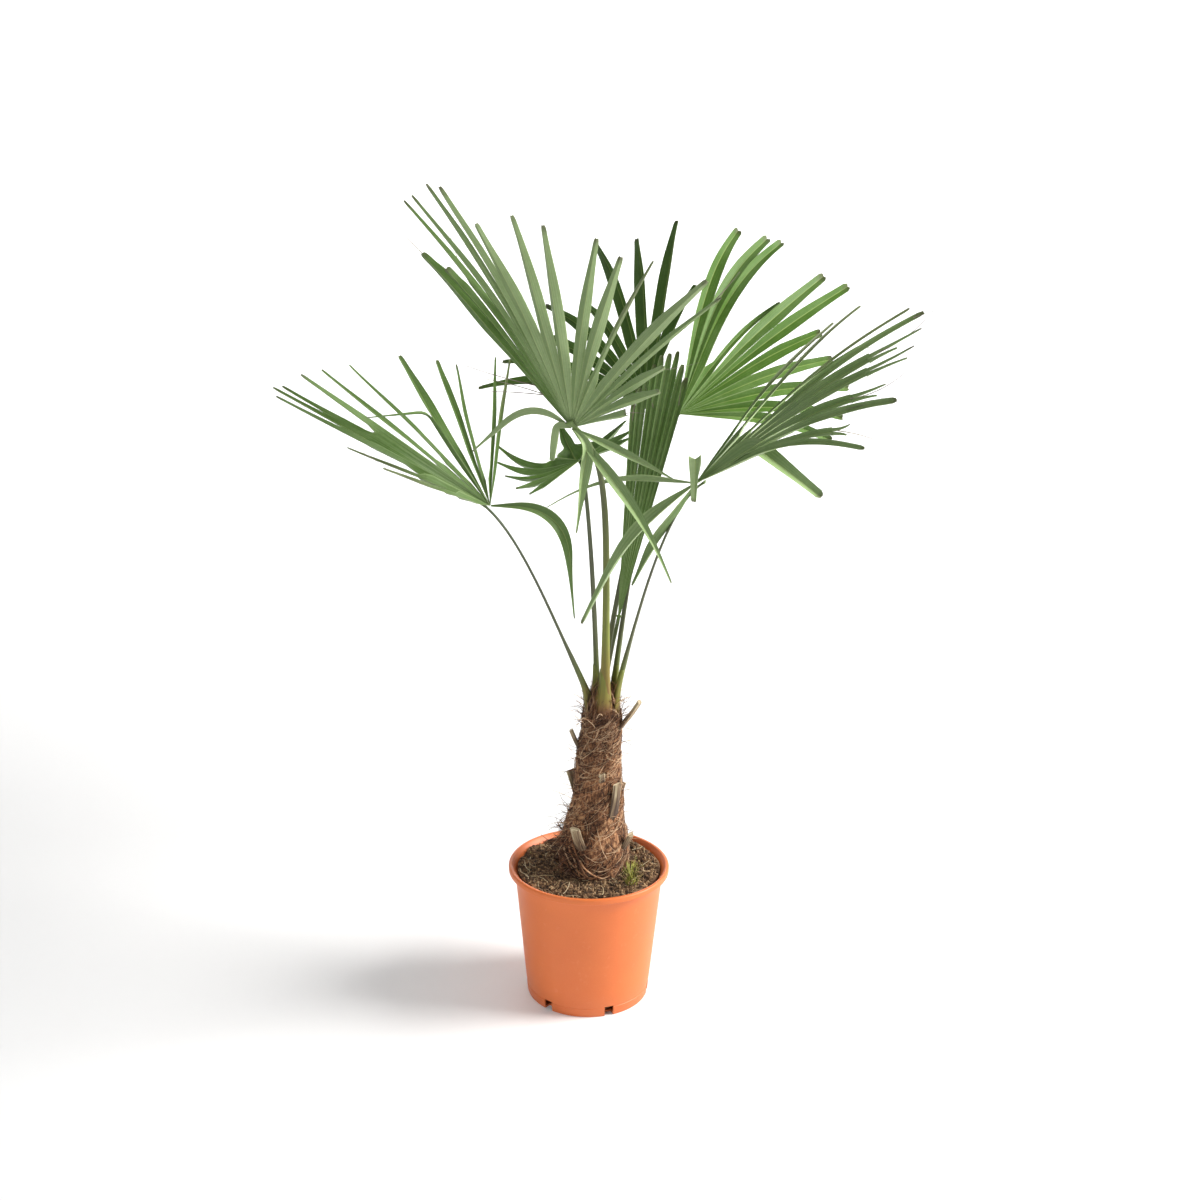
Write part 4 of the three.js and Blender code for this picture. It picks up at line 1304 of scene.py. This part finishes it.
def make_hairs(material):
    """Loose hairs that stand off the trunk, thickest at its foot, its left side and its top."""
    dice = random.Random(47)
    paths = Paths()
    for number in range(LOOSE_HAIR_COUNT):
        kind = number % 3
        if kind == 0:
            height = dice.uniform(248, 284)
            turn = dice.uniform(0, 2 * math.pi)
        elif kind == 1:
            height = dice.uniform(4, 100)
            turn = math.pi + dice.uniform(-0.7, 1.1)
        else:
            height = dice.uniform(0, 280)
            turn = dice.uniform(0, 2 * math.pi)
        length = dice.uniform(*HAIR_LENGTHS) * (1.2 if kind == 0 else 1.0)
        start = trunk_place(turn, height, trunk_relief(turn, height) - 0.5)
        outward = Vector((math.cos(turn), math.sin(turn), 0))
        sideways = Vector((-math.sin(turn), math.cos(turn), 0)) * dice.uniform(-0.9, 0.9)
        rise = dice.uniform(0.6, 1.6) if kind == 0 else dice.uniform(-0.3, 0.9)
        heading = (outward * dice.uniform(0.3, 0.9) + sideways + UP * rise).normalized()
        curl = Vector((dice.uniform(-1, 1), dice.uniform(-1, 1), dice.uniform(-1.1, 0.3))) * HAIR_CURL
        points = drifting(start, heading, curl, length, HAIR_STEPS)
        if points[-1].z < SOIL_LEVEL + 4:
            continue
        dark = kind == 1 and height < 60
        thick = dice.uniform(0.6, 1.0) if dark else dice.uniform(0.45, 0.7)
        tint = dice.uniform(0, 0.45) if dark else dice.uniform(0, 0.9)
        paths.add(points, thick, tint, number * 1.3, taper=0.4)
    made = paths.build("trunk_hairs", material)
    finish_piece(made, material, "trunk_fibre")


def make_curls(material):
    """Flat curled scraps of old leaf sheath round the front left of the trunk's foot."""
    dice = random.Random(83)
    paths = Paths()
    for number in range(CURL_COUNT):
        start = math.radians(dice.uniform(*CURL_TURNS))
        sweep = math.radians(dice.uniform(*CURL_SWEEPS))
        high = dice.uniform(*CURL_UPPER_HEIGHTS)
        low = dice.uniform(*CURL_LOWER_HEIGHTS)
        stand = dice.uniform(1, 5)
        points = []
        for step in range(CURL_STEPS + 1):
            share = step / CURL_STEPS
            turn = start + sweep * share
            height = lerp(high, low, math.sin(share * math.pi / 2)) + 6 * smoothstep(share, 0.8, 1)
            points.append(trunk_place(turn, height, trunk_relief(turn, height) + stand * (1 + share)))
        paths.add(points, dice.uniform(1.1, 2.4), dice.uniform(0.1, 0.95), number * 2.1, taper=0.45)
    made = paths.build("curled_sheaths", material, sides=6, flatness=0.3)
    finish_piece(made, material, "trunk_fibre")


def make_stub(name, material, number):
    """A cut leaf base: a shallow channel that widens into the trunk, sawn off square."""
    turn, height, length, width, depth, out = STUBS[name]
    dice = random.Random(100 + number)
    facing = math.radians(turn)
    outward = Vector((math.sin(facing), -math.cos(facing), 0))
    sideways = UP.cross(outward)
    lean = math.radians(out)
    forward = outward * math.sin(lean) + UP * math.cos(lean)
    thick = forward.cross(sideways)
    start = outward * (trunk_radius(height) - depth / 2)
    start.x += trunk_centre(height)
    start.z = TRUNK_FOOT_HEIGHT + height
    points, across, run = [], [], []
    for r in range(STUB_ROWS):
        share = r / (STUB_ROWS - 1)
        distance = lerp(-STUB_BURIED, length, share)
        spread = lerp(STUB_SPREAD, 1.0, smoothstep(share, 0.1, 0.9))
        bow = -STUB_BOW * math.sin(math.pi * share)
        for i, way in enumerate(turns_round(STUB_SIDES)):
            side = math.cos(way) * width / 2 * spread
            rise = math.sin(way) * depth / 2 * (1 - 0.25 * abs(math.cos(way)))
            dish = 0.16 * depth * (math.cos(way) ** 2 - 0.4) * smoothstep(share, 0.2, 0.8)
            grain = Vector((math.cos(way) * 3, math.sin(way) * 3, distance / 14 + number * 5))
            rough = 0.35 * noise.noise(grain)
            ragged = dice.uniform(-0.8, 0.9) if r == STUB_ROWS - 1 else 0
            spot = start + forward * (distance + ragged)
            points.append(spot + sideways * (side + rough) + thick * (rise + rough + dish + bow))
            across.append(i / STUB_SIDES)
            run.append(distance * MM)
    tint = [lerp(0.25, 0.75, smoothstep(place, 0, length * MM)) for place in run]
    shape = Shape()
    faces = ring_faces(STUB_ROWS, STUB_SIDES)
    shape.add(points, faces, across=across, length=run, tint=tint, seed=number * 2.3)
    made = shape.build("cut_" + name)
    recalculate(made)
    made.data.set_sharp_from_angle(angle=math.radians(50))
    finish_piece(made, material, "cut_leaf_base", name)


# Fronds


def blade_frame(frond):
    """Along the blade's middle line, up from its upper face, and to its side."""
    turn = math.radians(frond["azimuth"])
    rise = math.radians(frond["elevation"])
    middle = Vector((math.cos(turn) * math.cos(rise), math.sin(turn) * math.cos(rise), math.sin(rise)))
    face = (UP - middle * middle.z).normalized()
    face = turned(face, middle, math.radians(frond["roll"]))
    return middle, face, middle.cross(face)


def leaflet_line(hub, heading, across, reach, distances, bend, start, over, sway):
    """One leaflet's middle line: (place, across, up, ahead) at each distance."""
    axis = heading.cross(DOWN).normalized()
    rows = []
    place = hub.copy()
    done = 0.0
    for distance in distances:
        for i in range(4):
            middle = done + (distance - done) * (i + 0.5) / 4
            share = smoothstep(middle / reach, start, start + over)
            step = turned(heading, axis, math.radians(bend) * share)
            place += (step + across * sway * (middle / reach) ** 2) * (distance - done) / 4
        done = distance
        angle = math.radians(bend) * smoothstep(distance / reach, start, start + over)
        ahead = turned(heading, axis, angle)
        wide = turned(across, axis, angle)
        rows.append((place.copy(), wide, wide.cross(ahead).normalized(), ahead))
    return rows


def twist_rows(rows, distances, twist, start, end):
    """Turns the rows about the leaflet's own line, from none at one distance to all at another."""
    turned_rows = []
    for (place, wide, up, ahead), distance in zip(rows, distances):
        angle = math.radians(twist) * smoothstep(distance, start, end)
        turned_rows.append((place, turned(wide, ahead, angle), turned(up, ahead, angle), ahead))
    return turned_rows


def leaflet_half_width(share, tip_width, taper_from):
    """Even for half its length, then narrower, with a blunt round end."""
    narrow = smoothstep(share, taper_from, 1)
    half = lerp(LEAFLET_WIDTH / 2, tip_width / 2, narrow)
    return half * (1 - 0.35 * smoothstep(share, 0.975, 1.0))


def fan_leaflets(frond):
    """Each leaflet's (angle, reach, heading, across, droop), from the first to the last."""
    middle, face, side = blade_frame(frond)
    leaflets = []
    for i in range(frond["count"]):
        share = i / (frond["count"] - 1)
        angle = math.radians(along(frond["angles"], share) + frond["aside"].get(i, 0))
        reach = along(frond["reach"], share) + frond["longer"].get(i, 0)
        heading = middle * math.cos(angle) + side * math.sin(angle)
        heading += face * frond["cup"] * (1 - math.cos(angle))
        across = side * math.cos(angle) - middle * math.sin(angle)
        leaflets.append((angle, reach, heading.normalized(), across, along(frond["droop"], share)))
    return leaflets


# Places across a leaflet: share of the half width, and height share of the fold
ACROSS = [(-1.0, 1.0), (-0.55, 0.5), (0.0, 0.0), (0.55, 0.5), (1.0, 1.0)]


def leaflet_shell(shape, rows, widths, shares, fold, tint, dry):
    """
    A thin closed leaflet folded along its middle. rows are its middle line, widths the
    half widths to each side, and shares how far along its whole reach each row lies.
    """
    columns = len(ACROSS)
    top, bottom = [], []
    across, share_values = [], []
    last = len(rows) - 1
    for r, (row, (low, high), share) in enumerate(zip(rows, widths, shares)):
        place, wide, face, ahead = row
        mean = (low + high) / 2
        for side, lift in ACROSS:
            half = low if side < 0 else high
            back = mean * (0.45 - 0.9 * abs(side) + 1.1 * side * side) if r == last else 0.0
            spot = place + wide * side * half + face * fold * mean * (lift - 1.0) * 2 - ahead * back
            top.append(spot + face * LEAF_THICKNESS / 2)
            bottom.append(spot - face * LEAF_THICKNESS / 2)
            across.append(0.5 + 0.5 * side)
            share_values.append(share)
    count = len(top)
    faces = []
    for r in range(last):
        for c in range(columns - 1):
            a = r * columns + c
            b = a + columns
            faces.append((a, a + 1, b + 1, b))
            faces.append((count + a, count + b, count + b + 1, count + a + 1))
        a = r * columns
        b = a + columns
        faces.append((a, b, count + b, count + a))
        a += columns - 1
        b += columns - 1
        faces.append((a, count + a, count + b, b))
    for c in range(columns - 1):
        faces.append((c, count + c, count + c + 1, c + 1))
        a = last * columns + c
        faces.append((a, a + 1, count + a + 1, count + a))
    under = [0.0] * count + [1.0] * count
    shape.add(
        top + bottom, faces,
        across=across * 2, share=share_values * 2, under=under, tint=tint, dry=dry,
    )


def torn_end(shape, rows, widths, shares, fold, tint, dry, dice):
    """The end of a leaflet that has split into narrow strips of uneven length."""
    last = len(rows) - 1
    split = int(last * TORN_FROM)
    leaflet_shell(shape, rows[: split + 1], widths[: split + 1], shares[: split + 1], fold, tint, dry)
    for strip in range(TORN_STRIPS):
        side = (strip + 0.5) / TORN_STRIPS * 2 - 1
        length = dice.uniform(0.45, 1.0) if strip else 1.0
        end = split + max(4, int((last - split) * length))
        drift = side * dice.uniform(2, 14)
        sink = dice.uniform(-12, 12)
        strip_rows, strip_widths = [], []
        for r in range(split - 1, end + 1):
            place, wide, up, ahead = rows[r]
            half = (widths[r][0] + widths[r][1]) / 2
            share = (r - split + 1) / (last - split + 1)
            level = -2 * fold * half * (1 - abs(side))
            spot = place + wide * (side * half + drift * share * share) + up * (level - sink * share * share)
            strip_rows.append((spot, wide, up, ahead))
            width = half / TORN_STRIPS * (1 - 0.5 * (r - split + 1) / (end - split + 1))
            strip_widths.append((width, width))
        leaflet_shell(shape, strip_rows, strip_widths, shares[split - 1 : end + 1], 0.15, tint, dry)


def free_lines(frond, leaflets, dice):
    """Each leaflet's middle line and the distances of its rows, swayed, lifted and twisted."""
    hub = Vector(frond["hub"])
    joined = frond["joined"]
    loose = frond["loose"]
    lines, distance_rows = [], []
    for _, reach, heading, across, droop in leaflets:
        parting_distance = min(joined, SHORT_JOINED * reach)
        near = [parting_distance * (k / JOINED_STEPS) ** 1.3 for k in range(1, JOINED_STEPS + 1)]
        far = [lerp(parting_distance, reach, (k / FREE_STEPS) ** 0.85) for k in range(1, FREE_STEPS + 1)]
        distances = near + far
        sway = dice.uniform(-SWAY, SWAY) * loose
        rows = leaflet_line(hub, heading, across, reach, distances, droop, 0.25, 0.75, sway)
        lift = dice.uniform(-SWAY, SWAY) * loose * reach
        for r, (place, wide, up, ahead) in enumerate(rows):
            off = lift * smoothstep(distances[r], parting_distance * 0.8, reach)
            rows[r] = (place + up * off, wide, up, ahead)
        twist = frond["twist"] + dice.uniform(-TWIST_SPREAD, TWIST_SPREAD) * loose
        lines.append(twist_rows(rows, distances, twist, joined * TWIST_FROM, joined + TWIST_OVER))
        distance_rows.append(distances)
    return lines, distance_rows


def half_angle(frond, leaflets, i, way):
    """Half the angle between a leaflet and its neighbour on one side (way is -1 or 1)."""
    outer = not 0 <= i + way < len(leaflets)
    other = i - way if outer else i + way
    half = abs(leaflets[other][0] - leaflets[i][0]) / 2
    return max(half, math.radians(frond["edge"])) if outer else half


def parting(frond, boundary):
    """The distance from the hub at which two neighbours part, or an outer edge comes free."""
    joined = frond["joined"]
    if boundary in (0, frond["count"]):
        return joined / SOURCE_ROWS
    if boundary in frond["close"]:
        return frond["close"][boundary]
    rows = max(1, math.floor(SOURCE_ROWS * along(frond["parted"], boundary / frond["count"]) + 0.5))
    return joined * rows / SOURCE_ROWS


def own_tint(tone, dice):
    return min(max(tone + dice.uniform(-TINT_SPREAD, TINT_SPREAD), 0), 1)


def make_fan(frond, shape, dice):
    """The fan's leaflets in their order, joined to their neighbours up to where they part."""
    hub = Vector(frond["hub"])
    leaflets = fan_leaflets(frond)
    lines, distance_rows = free_lines(frond, leaflets, dice)
    way_round = math.copysign(1, leaflets[-1][0] - leaflets[0][0])
    for i, (line, distances) in enumerate(zip(lines, distance_rows)):
        reach = leaflets[i][1]
        slender = frond["slender"].get(i, 1.0) * dice.uniform(0.92, 1.08)
        rows, widths = [], []
        for (place, wide, up, ahead), distance in zip(line, distances):
            full = leaflet_half_width(distance / reach, frond["tip"], LEAFLET_TAPER_FROM)
            pair = []
            for way, boundary in ((-1, i), (1, i + 1)):
                room = distance * math.tan(half_angle(frond, leaflets, i, way))
                own = min(full * slender, SIDE_CLEARANCE * room)
                edge = parting(frond, boundary)
                pair.append(lerp(room, own, smoothstep(distance, edge, edge + PARTING_LENGTH)))
            rows.append((place, wide * way_round, up, ahead))
            widths.append(pair)
        shares = [0.0] + [distance / reach for distance in distances]
        first = rows[0]
        rows.insert(0, (hub + first[3], first[1], first[2], first[3]))
        widths.insert(0, (0.4, 0.4))
        tint = own_tint(frond["tone"] + frond["tones"].get(i, 0), dice)
        dry = DRY_SHARE if slender < DRY_SLENDER else 0.0
        fold = PLEAT * dice.uniform(0.85, 1.2)
        if i in frond["torn"]:
            torn_end(shape, rows, widths, shares, fold, tint, dry, dice)
        else:
            leaflet_shell(shape, rows, widths, shares, fold, tint, dry)
    return lines


def make_stray(frond, stray, shape, dice):
    """A leaflet that hangs or folds out of the fan."""
    hub = Vector(frond["hub"])
    heading = Vector(stray["aim"]).normalized()
    across = turned(heading.cross(UP).normalized(), heading, math.radians(stray["roll"]))
    reach = stray["reach"]
    count = JOINED_STEPS + FREE_STEPS
    distances = [1.0] + [reach * k / count for k in range(1, count + 1)]
    sway = dice.uniform(-STRAY_SWAY, STRAY_SWAY)
    bend, start, over = stray["bend"], stray["start"], stray["over"]
    line = leaflet_line(hub, heading, across, reach, distances, bend, start, over, sway)
    chance = dice.uniform(-STRAY_TWIST_SPREAD, STRAY_TWIST_SPREAD)
    spin = chance if stray["spin"] is None else stray["spin"]
    line = twist_rows(line, distances, spin, reach * 0.25, reach * 0.8)
    widths, shares = [], []
    for distance in distances:
        share = distance / reach
        grow = smoothstep(share, -0.12, 0.38) * stray["wide"]
        half = leaflet_half_width(share, stray["tip"] * LEAFLET_WIDTH, STRAY_TAPER_FROM) * grow
        widths.append((half, half))
        shares.append(share)
    tint = own_tint(frond["tone"] + stray["pale"], dice)
    leaflet_shell(shape, line, widths, shares, PLEAT * 0.8, tint, 0.0)


def make_blade(frond, number, material):
    """A frond's leaflets in one piece; returns its leaflets' middle lines."""
    dice = random.Random(500 + number)
    shape = Shape()
    lines = make_fan(frond, shape, dice)
    for stray in frond["strays"]:
        make_stray(frond, {**USUAL_STRAY, **stray}, shape, dice)
    made = shape.build("leaflets_" + frond["name"])
    recalculate(made)
    made.data.set_sharp_from_angle(angle=math.radians(26))
    finish_piece(made, material, "leaf_blade", "blade_" + frond["name"])
    return lines


# Long dry threads: frond, leaflet, share of its rows, direction, length and fall
LONG_THREADS = [
    ("front", 0, 0.9, (-0.7, 0.0, 0.6), 60, -0.2),
    ("front", 0, 0.17, (-0.95, -0.1, 0.2), 115, -0.15),
    ("front", 0, 0.13, (-0.95, -0.1, 0.12), 85, 0.1),
    ("front", 0, 0.15, (-0.9, -0.1, 0.35), 90, 0.2),
    ("front", 2, 0.8, (-0.75, 0.1, 0.8), 70, -0.1),
    ("front", 13, 0.9, (0.75, 0.1, 0.75), 60, -0.2),
    ("right", 5, 0.75, (0.85, 0.2, 0.3), 110, -0.7),
    ("right", 7, 0.7, (0.9, 0.2, 0.05), 105, -0.8),
    ("right", 9, 0.8, (0.9, 0.1, -0.1), 70, 0.3),
]


def make_threads(lines_by_frond, material):
    """Dry threads that hang off the leaflets' edges and trail past a few tips."""
    dice = random.Random(77)
    paths = Paths()
    number = 0
    for lines in lines_by_frond:
        for line in lines[::2]:
            row = dice.randrange(len(line) // 2, len(line) - 2)
            place, wide, up, ahead = line[row]
            heading = (ahead + wide * dice.uniform(-0.6, 0.6) + up * dice.uniform(-0.3, 0.3)).normalized()
            curl = Vector((dice.uniform(-1, 1), dice.uniform(-1, 1), dice.uniform(-1, 0.6))) * 0.05
            points = drifting(place, heading, curl, dice.uniform(*THREAD_LENGTHS), HAIR_STEPS)
            number += 1
            if dice.random() < THREAD_SHARE:
                paths.add(points, dice.uniform(0.45, 0.75), dice.random(), number, taper=0.35)
    names = [frond["name"] for frond in FRONDS]
    for name, leaflet, share, way, length, fall in LONG_THREADS:
        rows = lines_by_frond[names.index(name)][leaflet]
        start = rows[int(share * (len(rows) - 1))][0]
        drift = DOWN * fall / LONG_THREAD_STEPS
        points = drifting(start, Vector(way).normalized(), drift, length, LONG_THREAD_STEPS)
        number += 1
        paths.add(points, LONG_THREAD_RADIUS, 0.5, number, taper=0.45)
    made = paths.build("leaf_threads", material)
    finish_piece(made, material, "leaf_blade")


def curve_place(pulls, t):
    """The place at t (0 to 1) on the smooth curve that four points pull."""
    s = 1 - t
    return pulls[0] * s**3 + pulls[1] * 3 * s * s * t + pulls[2] * 3 * s * t * t + pulls[3] * t**3


def curve_heading(pulls, t):
    """The direction of that curve at t."""
    s = 1 - t
    first, middle, last = (after - before for before, after in zip(pulls, pulls[1:]))
    return (first * 3 * s * s + middle * 6 * s * t + last * 3 * t * t).normalized()


def stalk_foot(frond):
    """Where the stalk meets the trunk's top, without the gap between them."""
    turn = math.radians(frond["turn"])
    ring = frond["ring"]
    top = TRUNK_FOOT_HEIGHT + TRUNK_HEIGHT
    return Vector((TRUNK_TOP_X + ring * math.sin(turn), -ring * math.cos(turn), top))


def stalk_piece(name, rings, points, share, across, run, number, warm):
    """A tube through rings of STALK_SIDES points, with the values that the stalk's skin reads."""
    shape = Shape()
    shape.add(
        points, ring_faces(rings, STALK_SIDES), share=share, across=across, length=run,
        tint=0.5, seed=number * 3.1, warm=warm,
    )
    made = shape.build(name)
    recalculate(made)
    return made


def make_stalk(frond, number, material):
    """The stalk: round at the crown, flatter and channelled above, flared under the hub."""
    middle, face, _ = blade_frame(frond)
    lean = math.radians(frond["lean"])
    thick = frond["thick"]
    foot = stalk_foot(frond) + UP * GAP
    under = BLADE_THICKNESS / 2 + STALK_END_RADIUS * thick + GAP
    end = Vector(frond["hub"]) - face * under + middle * STALK_UNDER_BLADE
    length = (end - foot).length
    outward = Vector((end.x - foot.x, end.y - foot.y, 0)).normalized()
    start = outward * math.sin(lean) + UP * math.cos(lean)
    approach = Vector(frond["approach"] or middle).normalized()
    from_foot = start * frond["start_pull"] * length
    to_end = approach * frond["end_pull"] * length
    pulls = [foot, foot + from_foot, end - to_end, end]
    points, share_values, across, run = [], [], [], []
    for s in range(STALK_STEPS + 1):
        t = s / STALK_STEPS
        centre = curve_place(pulls, t)
        ahead = UP if s == 0 else curve_heading(pulls, t)
        share = smoothstep(t, 0.5, 0.95)
        upper = face * share - outward * (1 - share)
        upper = (upper - ahead * upper.dot(ahead)).normalized()
        wide = ahead.cross(upper)
        radius = thick * lerp(STALK_FOOT_RADIUS, STALK_END_RADIUS, t)
        flare = 1 + STALK_CROWN_FLARE * (1 - smoothstep(t, 0.0, 0.16))
        flare += STALK_HUB_FLARE * smoothstep(t, 0.955, 1.0)
        thin = lerp(1.0, STALK_FLATNESS, smoothstep(t, 0.1, 0.3))
        for i, way in enumerate(turns_round(STALK_SIDES)):
            x = math.cos(way) * radius * flare
            y = math.sin(way) * radius * thin
            if y > 0:
                y *= 1 - STALK_CHANNEL * (1 - abs(math.cos(way))) * smoothstep(t, 0.15, 0.35)
            points.append(centre + wide * x + upper * y)
            share_values.append(t)
            across.append(i / STALK_SIDES)
            run.append(t * length * MM)
    made = stalk_piece(
        "stalk_skin_" + frond["name"], STALK_STEPS + 1, points, share_values, across, run, number,
        frond["warm"],
    )
    finish_piece(made, material, "leaf_stalk", "stalk_" + frond["name"])


def make_leaf_base(frond, number, material):
    """The living leaf base that clasps the trunk's top and narrows into the stalk."""
    turn = math.radians(frond["turn"])
    lean = math.radians(frond["lean"])
    thick = frond["thick"]
    outward = Vector((math.sin(turn), -math.cos(turn), 0))
    side = Vector((math.cos(turn), math.sin(turn), 0))
    low = FRONT_LEAF_FOOT_HEIGHT if frond["name"] == "front" else LEAF_FOOT_HEIGHT
    if frond["ring"] != STALK_RING:
        low = INNER_LEAF_FOOT_HEIGHT
    start = outward * (trunk_radius(low) - 3) + Vector((trunk_centre(low), 0, TRUNK_FOOT_HEIGHT + low))
    foot = stalk_foot(frond)
    end = foot + (outward * math.sin(lean) + UP * math.cos(lean)) * LEAF_FOOT_RISE
    pulls = [start, start + UP * 30, foot + UP * 4, end]
    points, share_values, across, run = [], [], [], []
    for r in range(LEAF_FOOT_ROWS):
        t = r / (LEAF_FOOT_ROWS - 1)
        centre = curve_place(pulls, t)
        half = lerp(LEAF_FOOT_HALF_WIDTH, 6.0 * thick, smoothstep(t, 0.15, 0.95))
        half *= lerp(1, 0.86, smoothstep(t, 0.9, 1))
        deep = lerp(2.2, 4.9 * thick, smoothstep(t, 0.0, 0.6)) * lerp(1, 0.8, smoothstep(t, 0.9, 1))
        for i, way in enumerate(turns_round(STALK_SIDES)):
            hug = (1 - t) * LEAF_FOOT_HUG * math.cos(way) ** 2
            points.append(centre + side * math.cos(way) * half + outward * (math.sin(way) * deep - hug))
            share_values.append(lerp(-0.02, 0.12, t))
            across.append(i / STALK_SIDES)
            run.append(t * 0.1)
    made = stalk_piece(
        "leaf_foot_" + frond["name"], LEAF_FOOT_ROWS, points, share_values, across, run, number,
        max(frond["warm"], 0.75),
    )
    finish_piece(made, material, "leaf_stalk")


def make_sheath(material):
    """Brown sheath fibre round the top of the trunk and the feet of the stalks."""
    dice = random.Random(64)
    paths = Paths()
    top = TRUNK_FOOT_HEIGHT + TRUNK_HEIGHT
    for number in range(SHEATH_COUNT):
        turn = dice.uniform(0, 2 * math.pi)
        radius = SHEATH_SPREAD * dice.uniform(0.15, 0.98) ** 0.6
        start = Vector((radius * math.cos(turn), radius * math.sin(turn), top - SHEATH_DROP))
        start.x += TRUNK_TOP_X
        height = dice.uniform(8, 46) * (1.2 - 0.5 * radius / SHEATH_CLOSING)
        if number % 2:
            at = dice.uniform(238, 284)
            start = trunk_place(turn, at, trunk_relief(turn, at) + 1)
            height = dice.uniform(14, 44)
        inward = Vector((TRUNK_TOP_X - start.x, -start.y, 0)) / SHEATH_CLOSING
        lean = inward * dice.uniform(0.1, 0.5)
        lean += Vector((dice.uniform(-0.3, 0.3), dice.uniform(-0.3, 0.3), 0))
        points = []
        for step in range(SHEATH_STEPS + 1):
            share = step / SHEATH_STEPS
            points.append(start + UP * height * share + lean * height * share * share)
        paths.add(points, dice.choice(SHEATH_RADII), dice.uniform(0.1, 0.8), number * 0.7, taper=0.3)
    made = paths.build("crown_sheath", material)
    finish_piece(made, material, "trunk_fibre")


# The studio


# The floor's sweep, in metres
SWEEP_DEPTH = 6.0
SWEEP_RADIUS = 2.5
SWEEP_HEIGHT = 7.0
SWEEP_HALF_WIDTH = 7.0
SWEEP_STEPS = 12


def make_studio():
    """A pale floor that sweeps up behind, soft light from the right, and a white room."""
    floor_material, paint, shader = new_material("Studio floor")
    patches = group_node(paint, MOTTLING, {"Patch Scale": 1.2, "Grain Scale": 60.0, "Contrast": 0.3})
    tint = paint.mix(patches["Mask"], colour(244, 244, 244), colour(248, 248, 248))
    paint.feed(shader.inputs["Base Color"], tint)
    shader.inputs["Roughness"].default_value = 0.9
    profile = [(-SWEEP_DEPTH, 0.0), (SWEEP_RADIUS, 0.0)]
    for step in range(1, SWEEP_STEPS + 1):
        turn = math.pi / 2 * step / SWEEP_STEPS
        profile.append((SWEEP_RADIUS * (1 + math.sin(turn)), SWEEP_RADIUS * (1 - math.cos(turn))))
    profile.append((2 * SWEEP_RADIUS, SWEEP_HEIGHT))
    points, faces = [], []
    for y, z in profile:
        points.extend([(-SWEEP_HALF_WIDTH, y, z), (SWEEP_HALF_WIDTH, y, z)])
    for i in range(len(profile) - 1):
        faces.append((2 * i, 2 * i + 1, 2 * i + 3, 2 * i + 2))
    mesh = bpy.data.meshes.new("studio_sweep")
    mesh.from_pydata(points, [], faces)
    mesh.shade_smooth()
    mesh.materials.append(floor_material)
    sweep = bpy.data.objects.new("studio_sweep", mesh)
    bpy.context.scene.collection.objects.link(sweep)

    def area_light(name, place, target, size, power, tint):
        lamp = bpy.data.lights.new(name, "AREA")
        lamp.shape = "DISK"
        lamp.size = size
        lamp.energy = power
        lamp.color = tint
        made = bpy.data.objects.new(name, lamp)
        made.location = place
        made.rotation_euler = (Vector(target) - Vector(place)).to_track_quat("-Z", "Y").to_euler()
        bpy.context.scene.collection.objects.link(made)

    area_light("key_light", (2.7, 0.0, 2.0), (0, 0, 0.4), 1.8, 178, (1.0, 0.985, 0.96))
    area_light("fill_light", (-2.0, -3.0, 2.8), (0, 0, 0.6), 2.2, 40, (0.97, 0.985, 1.0))
    area_light("backdrop_light", (0, 2.4, 3.4), (0, 5, 2.0), 3.0, 150, (1.0, 1.0, 1.0))
    world = bpy.data.worlds.new("White room")
    world.use_nodes = True
    world.node_tree.nodes["Background"].inputs["Color"].default_value = (1, 1, 1, 1)
    world.node_tree.nodes["Background"].inputs["Strength"].default_value = 0.36
    bpy.context.scene.world = world
    bpy.context.scene.view_settings.view_transform = "Standard"


# The photo's camera: place in metres, downward pitch, roll and lens, for a square frame
CAMERA_PLACE = (0.0125, -2.5, 1.4721)
CAMERA_PITCH = 17.71
CAMERA_ROLL = 0.745
CAMERA_LENS = 50.98
SENSOR_WIDTH = 36


def make_camera():
    pitch = math.radians(CAMERA_PITCH)
    roll = math.radians(CAMERA_ROLL)
    ahead = Vector((0, math.cos(pitch), -math.sin(pitch)))
    level = Vector((1, 0, 0))
    upward = level.cross(ahead)
    right = level * math.cos(roll) + upward * math.sin(roll)
    up = upward * math.cos(roll) - level * math.sin(roll)
    lens = bpy.data.cameras.new("photo_view")
    lens.lens = CAMERA_LENS
    lens.sensor_width = SENSOR_WIDTH
    lens.clip_end = 60
    made = bpy.data.objects.new("photo_view", lens)
    made.matrix_world = Matrix((right, up, -ahead)).transposed().to_4x4()
    made.location = CAMERA_PLACE
    bpy.context.scene.collection.objects.link(made)
    bpy.context.scene.camera = made


make_camera()
make_studio()
make_pot(pot_plastic())
strand_material = strand_fibre()
soil_rim = pot_wall_radius(SOIL_LEVEL) - POT_WALL - GAP - SOIL_RIM_ROOM
make_soil(potting_soil(), soil_rim)
make_crumbs(soil_crumb(), soil_rim)
make_litter(straw(), soil_rim)
make_weed(moss_green())
make_trunk(trunk_skin())
make_strands(strand_material)
make_hairs(strand_material)
make_curls(strand_material)
base_material = cut_base()
for number, name in enumerate(STUBS):
    make_stub(name, base_material, number)
leaf_material = leaf_skin()
stalk_material = stalk_skin()
blade_lines = []
for number, frond in enumerate(FRONDS):
    make_stalk(frond, number, stalk_material)
    make_leaf_base(frond, number, stalk_material)
    blade_lines.append(make_blade(frond, number, leaf_material))
make_sheath(strand_material)
make_threads(blade_lines, dry_thread())
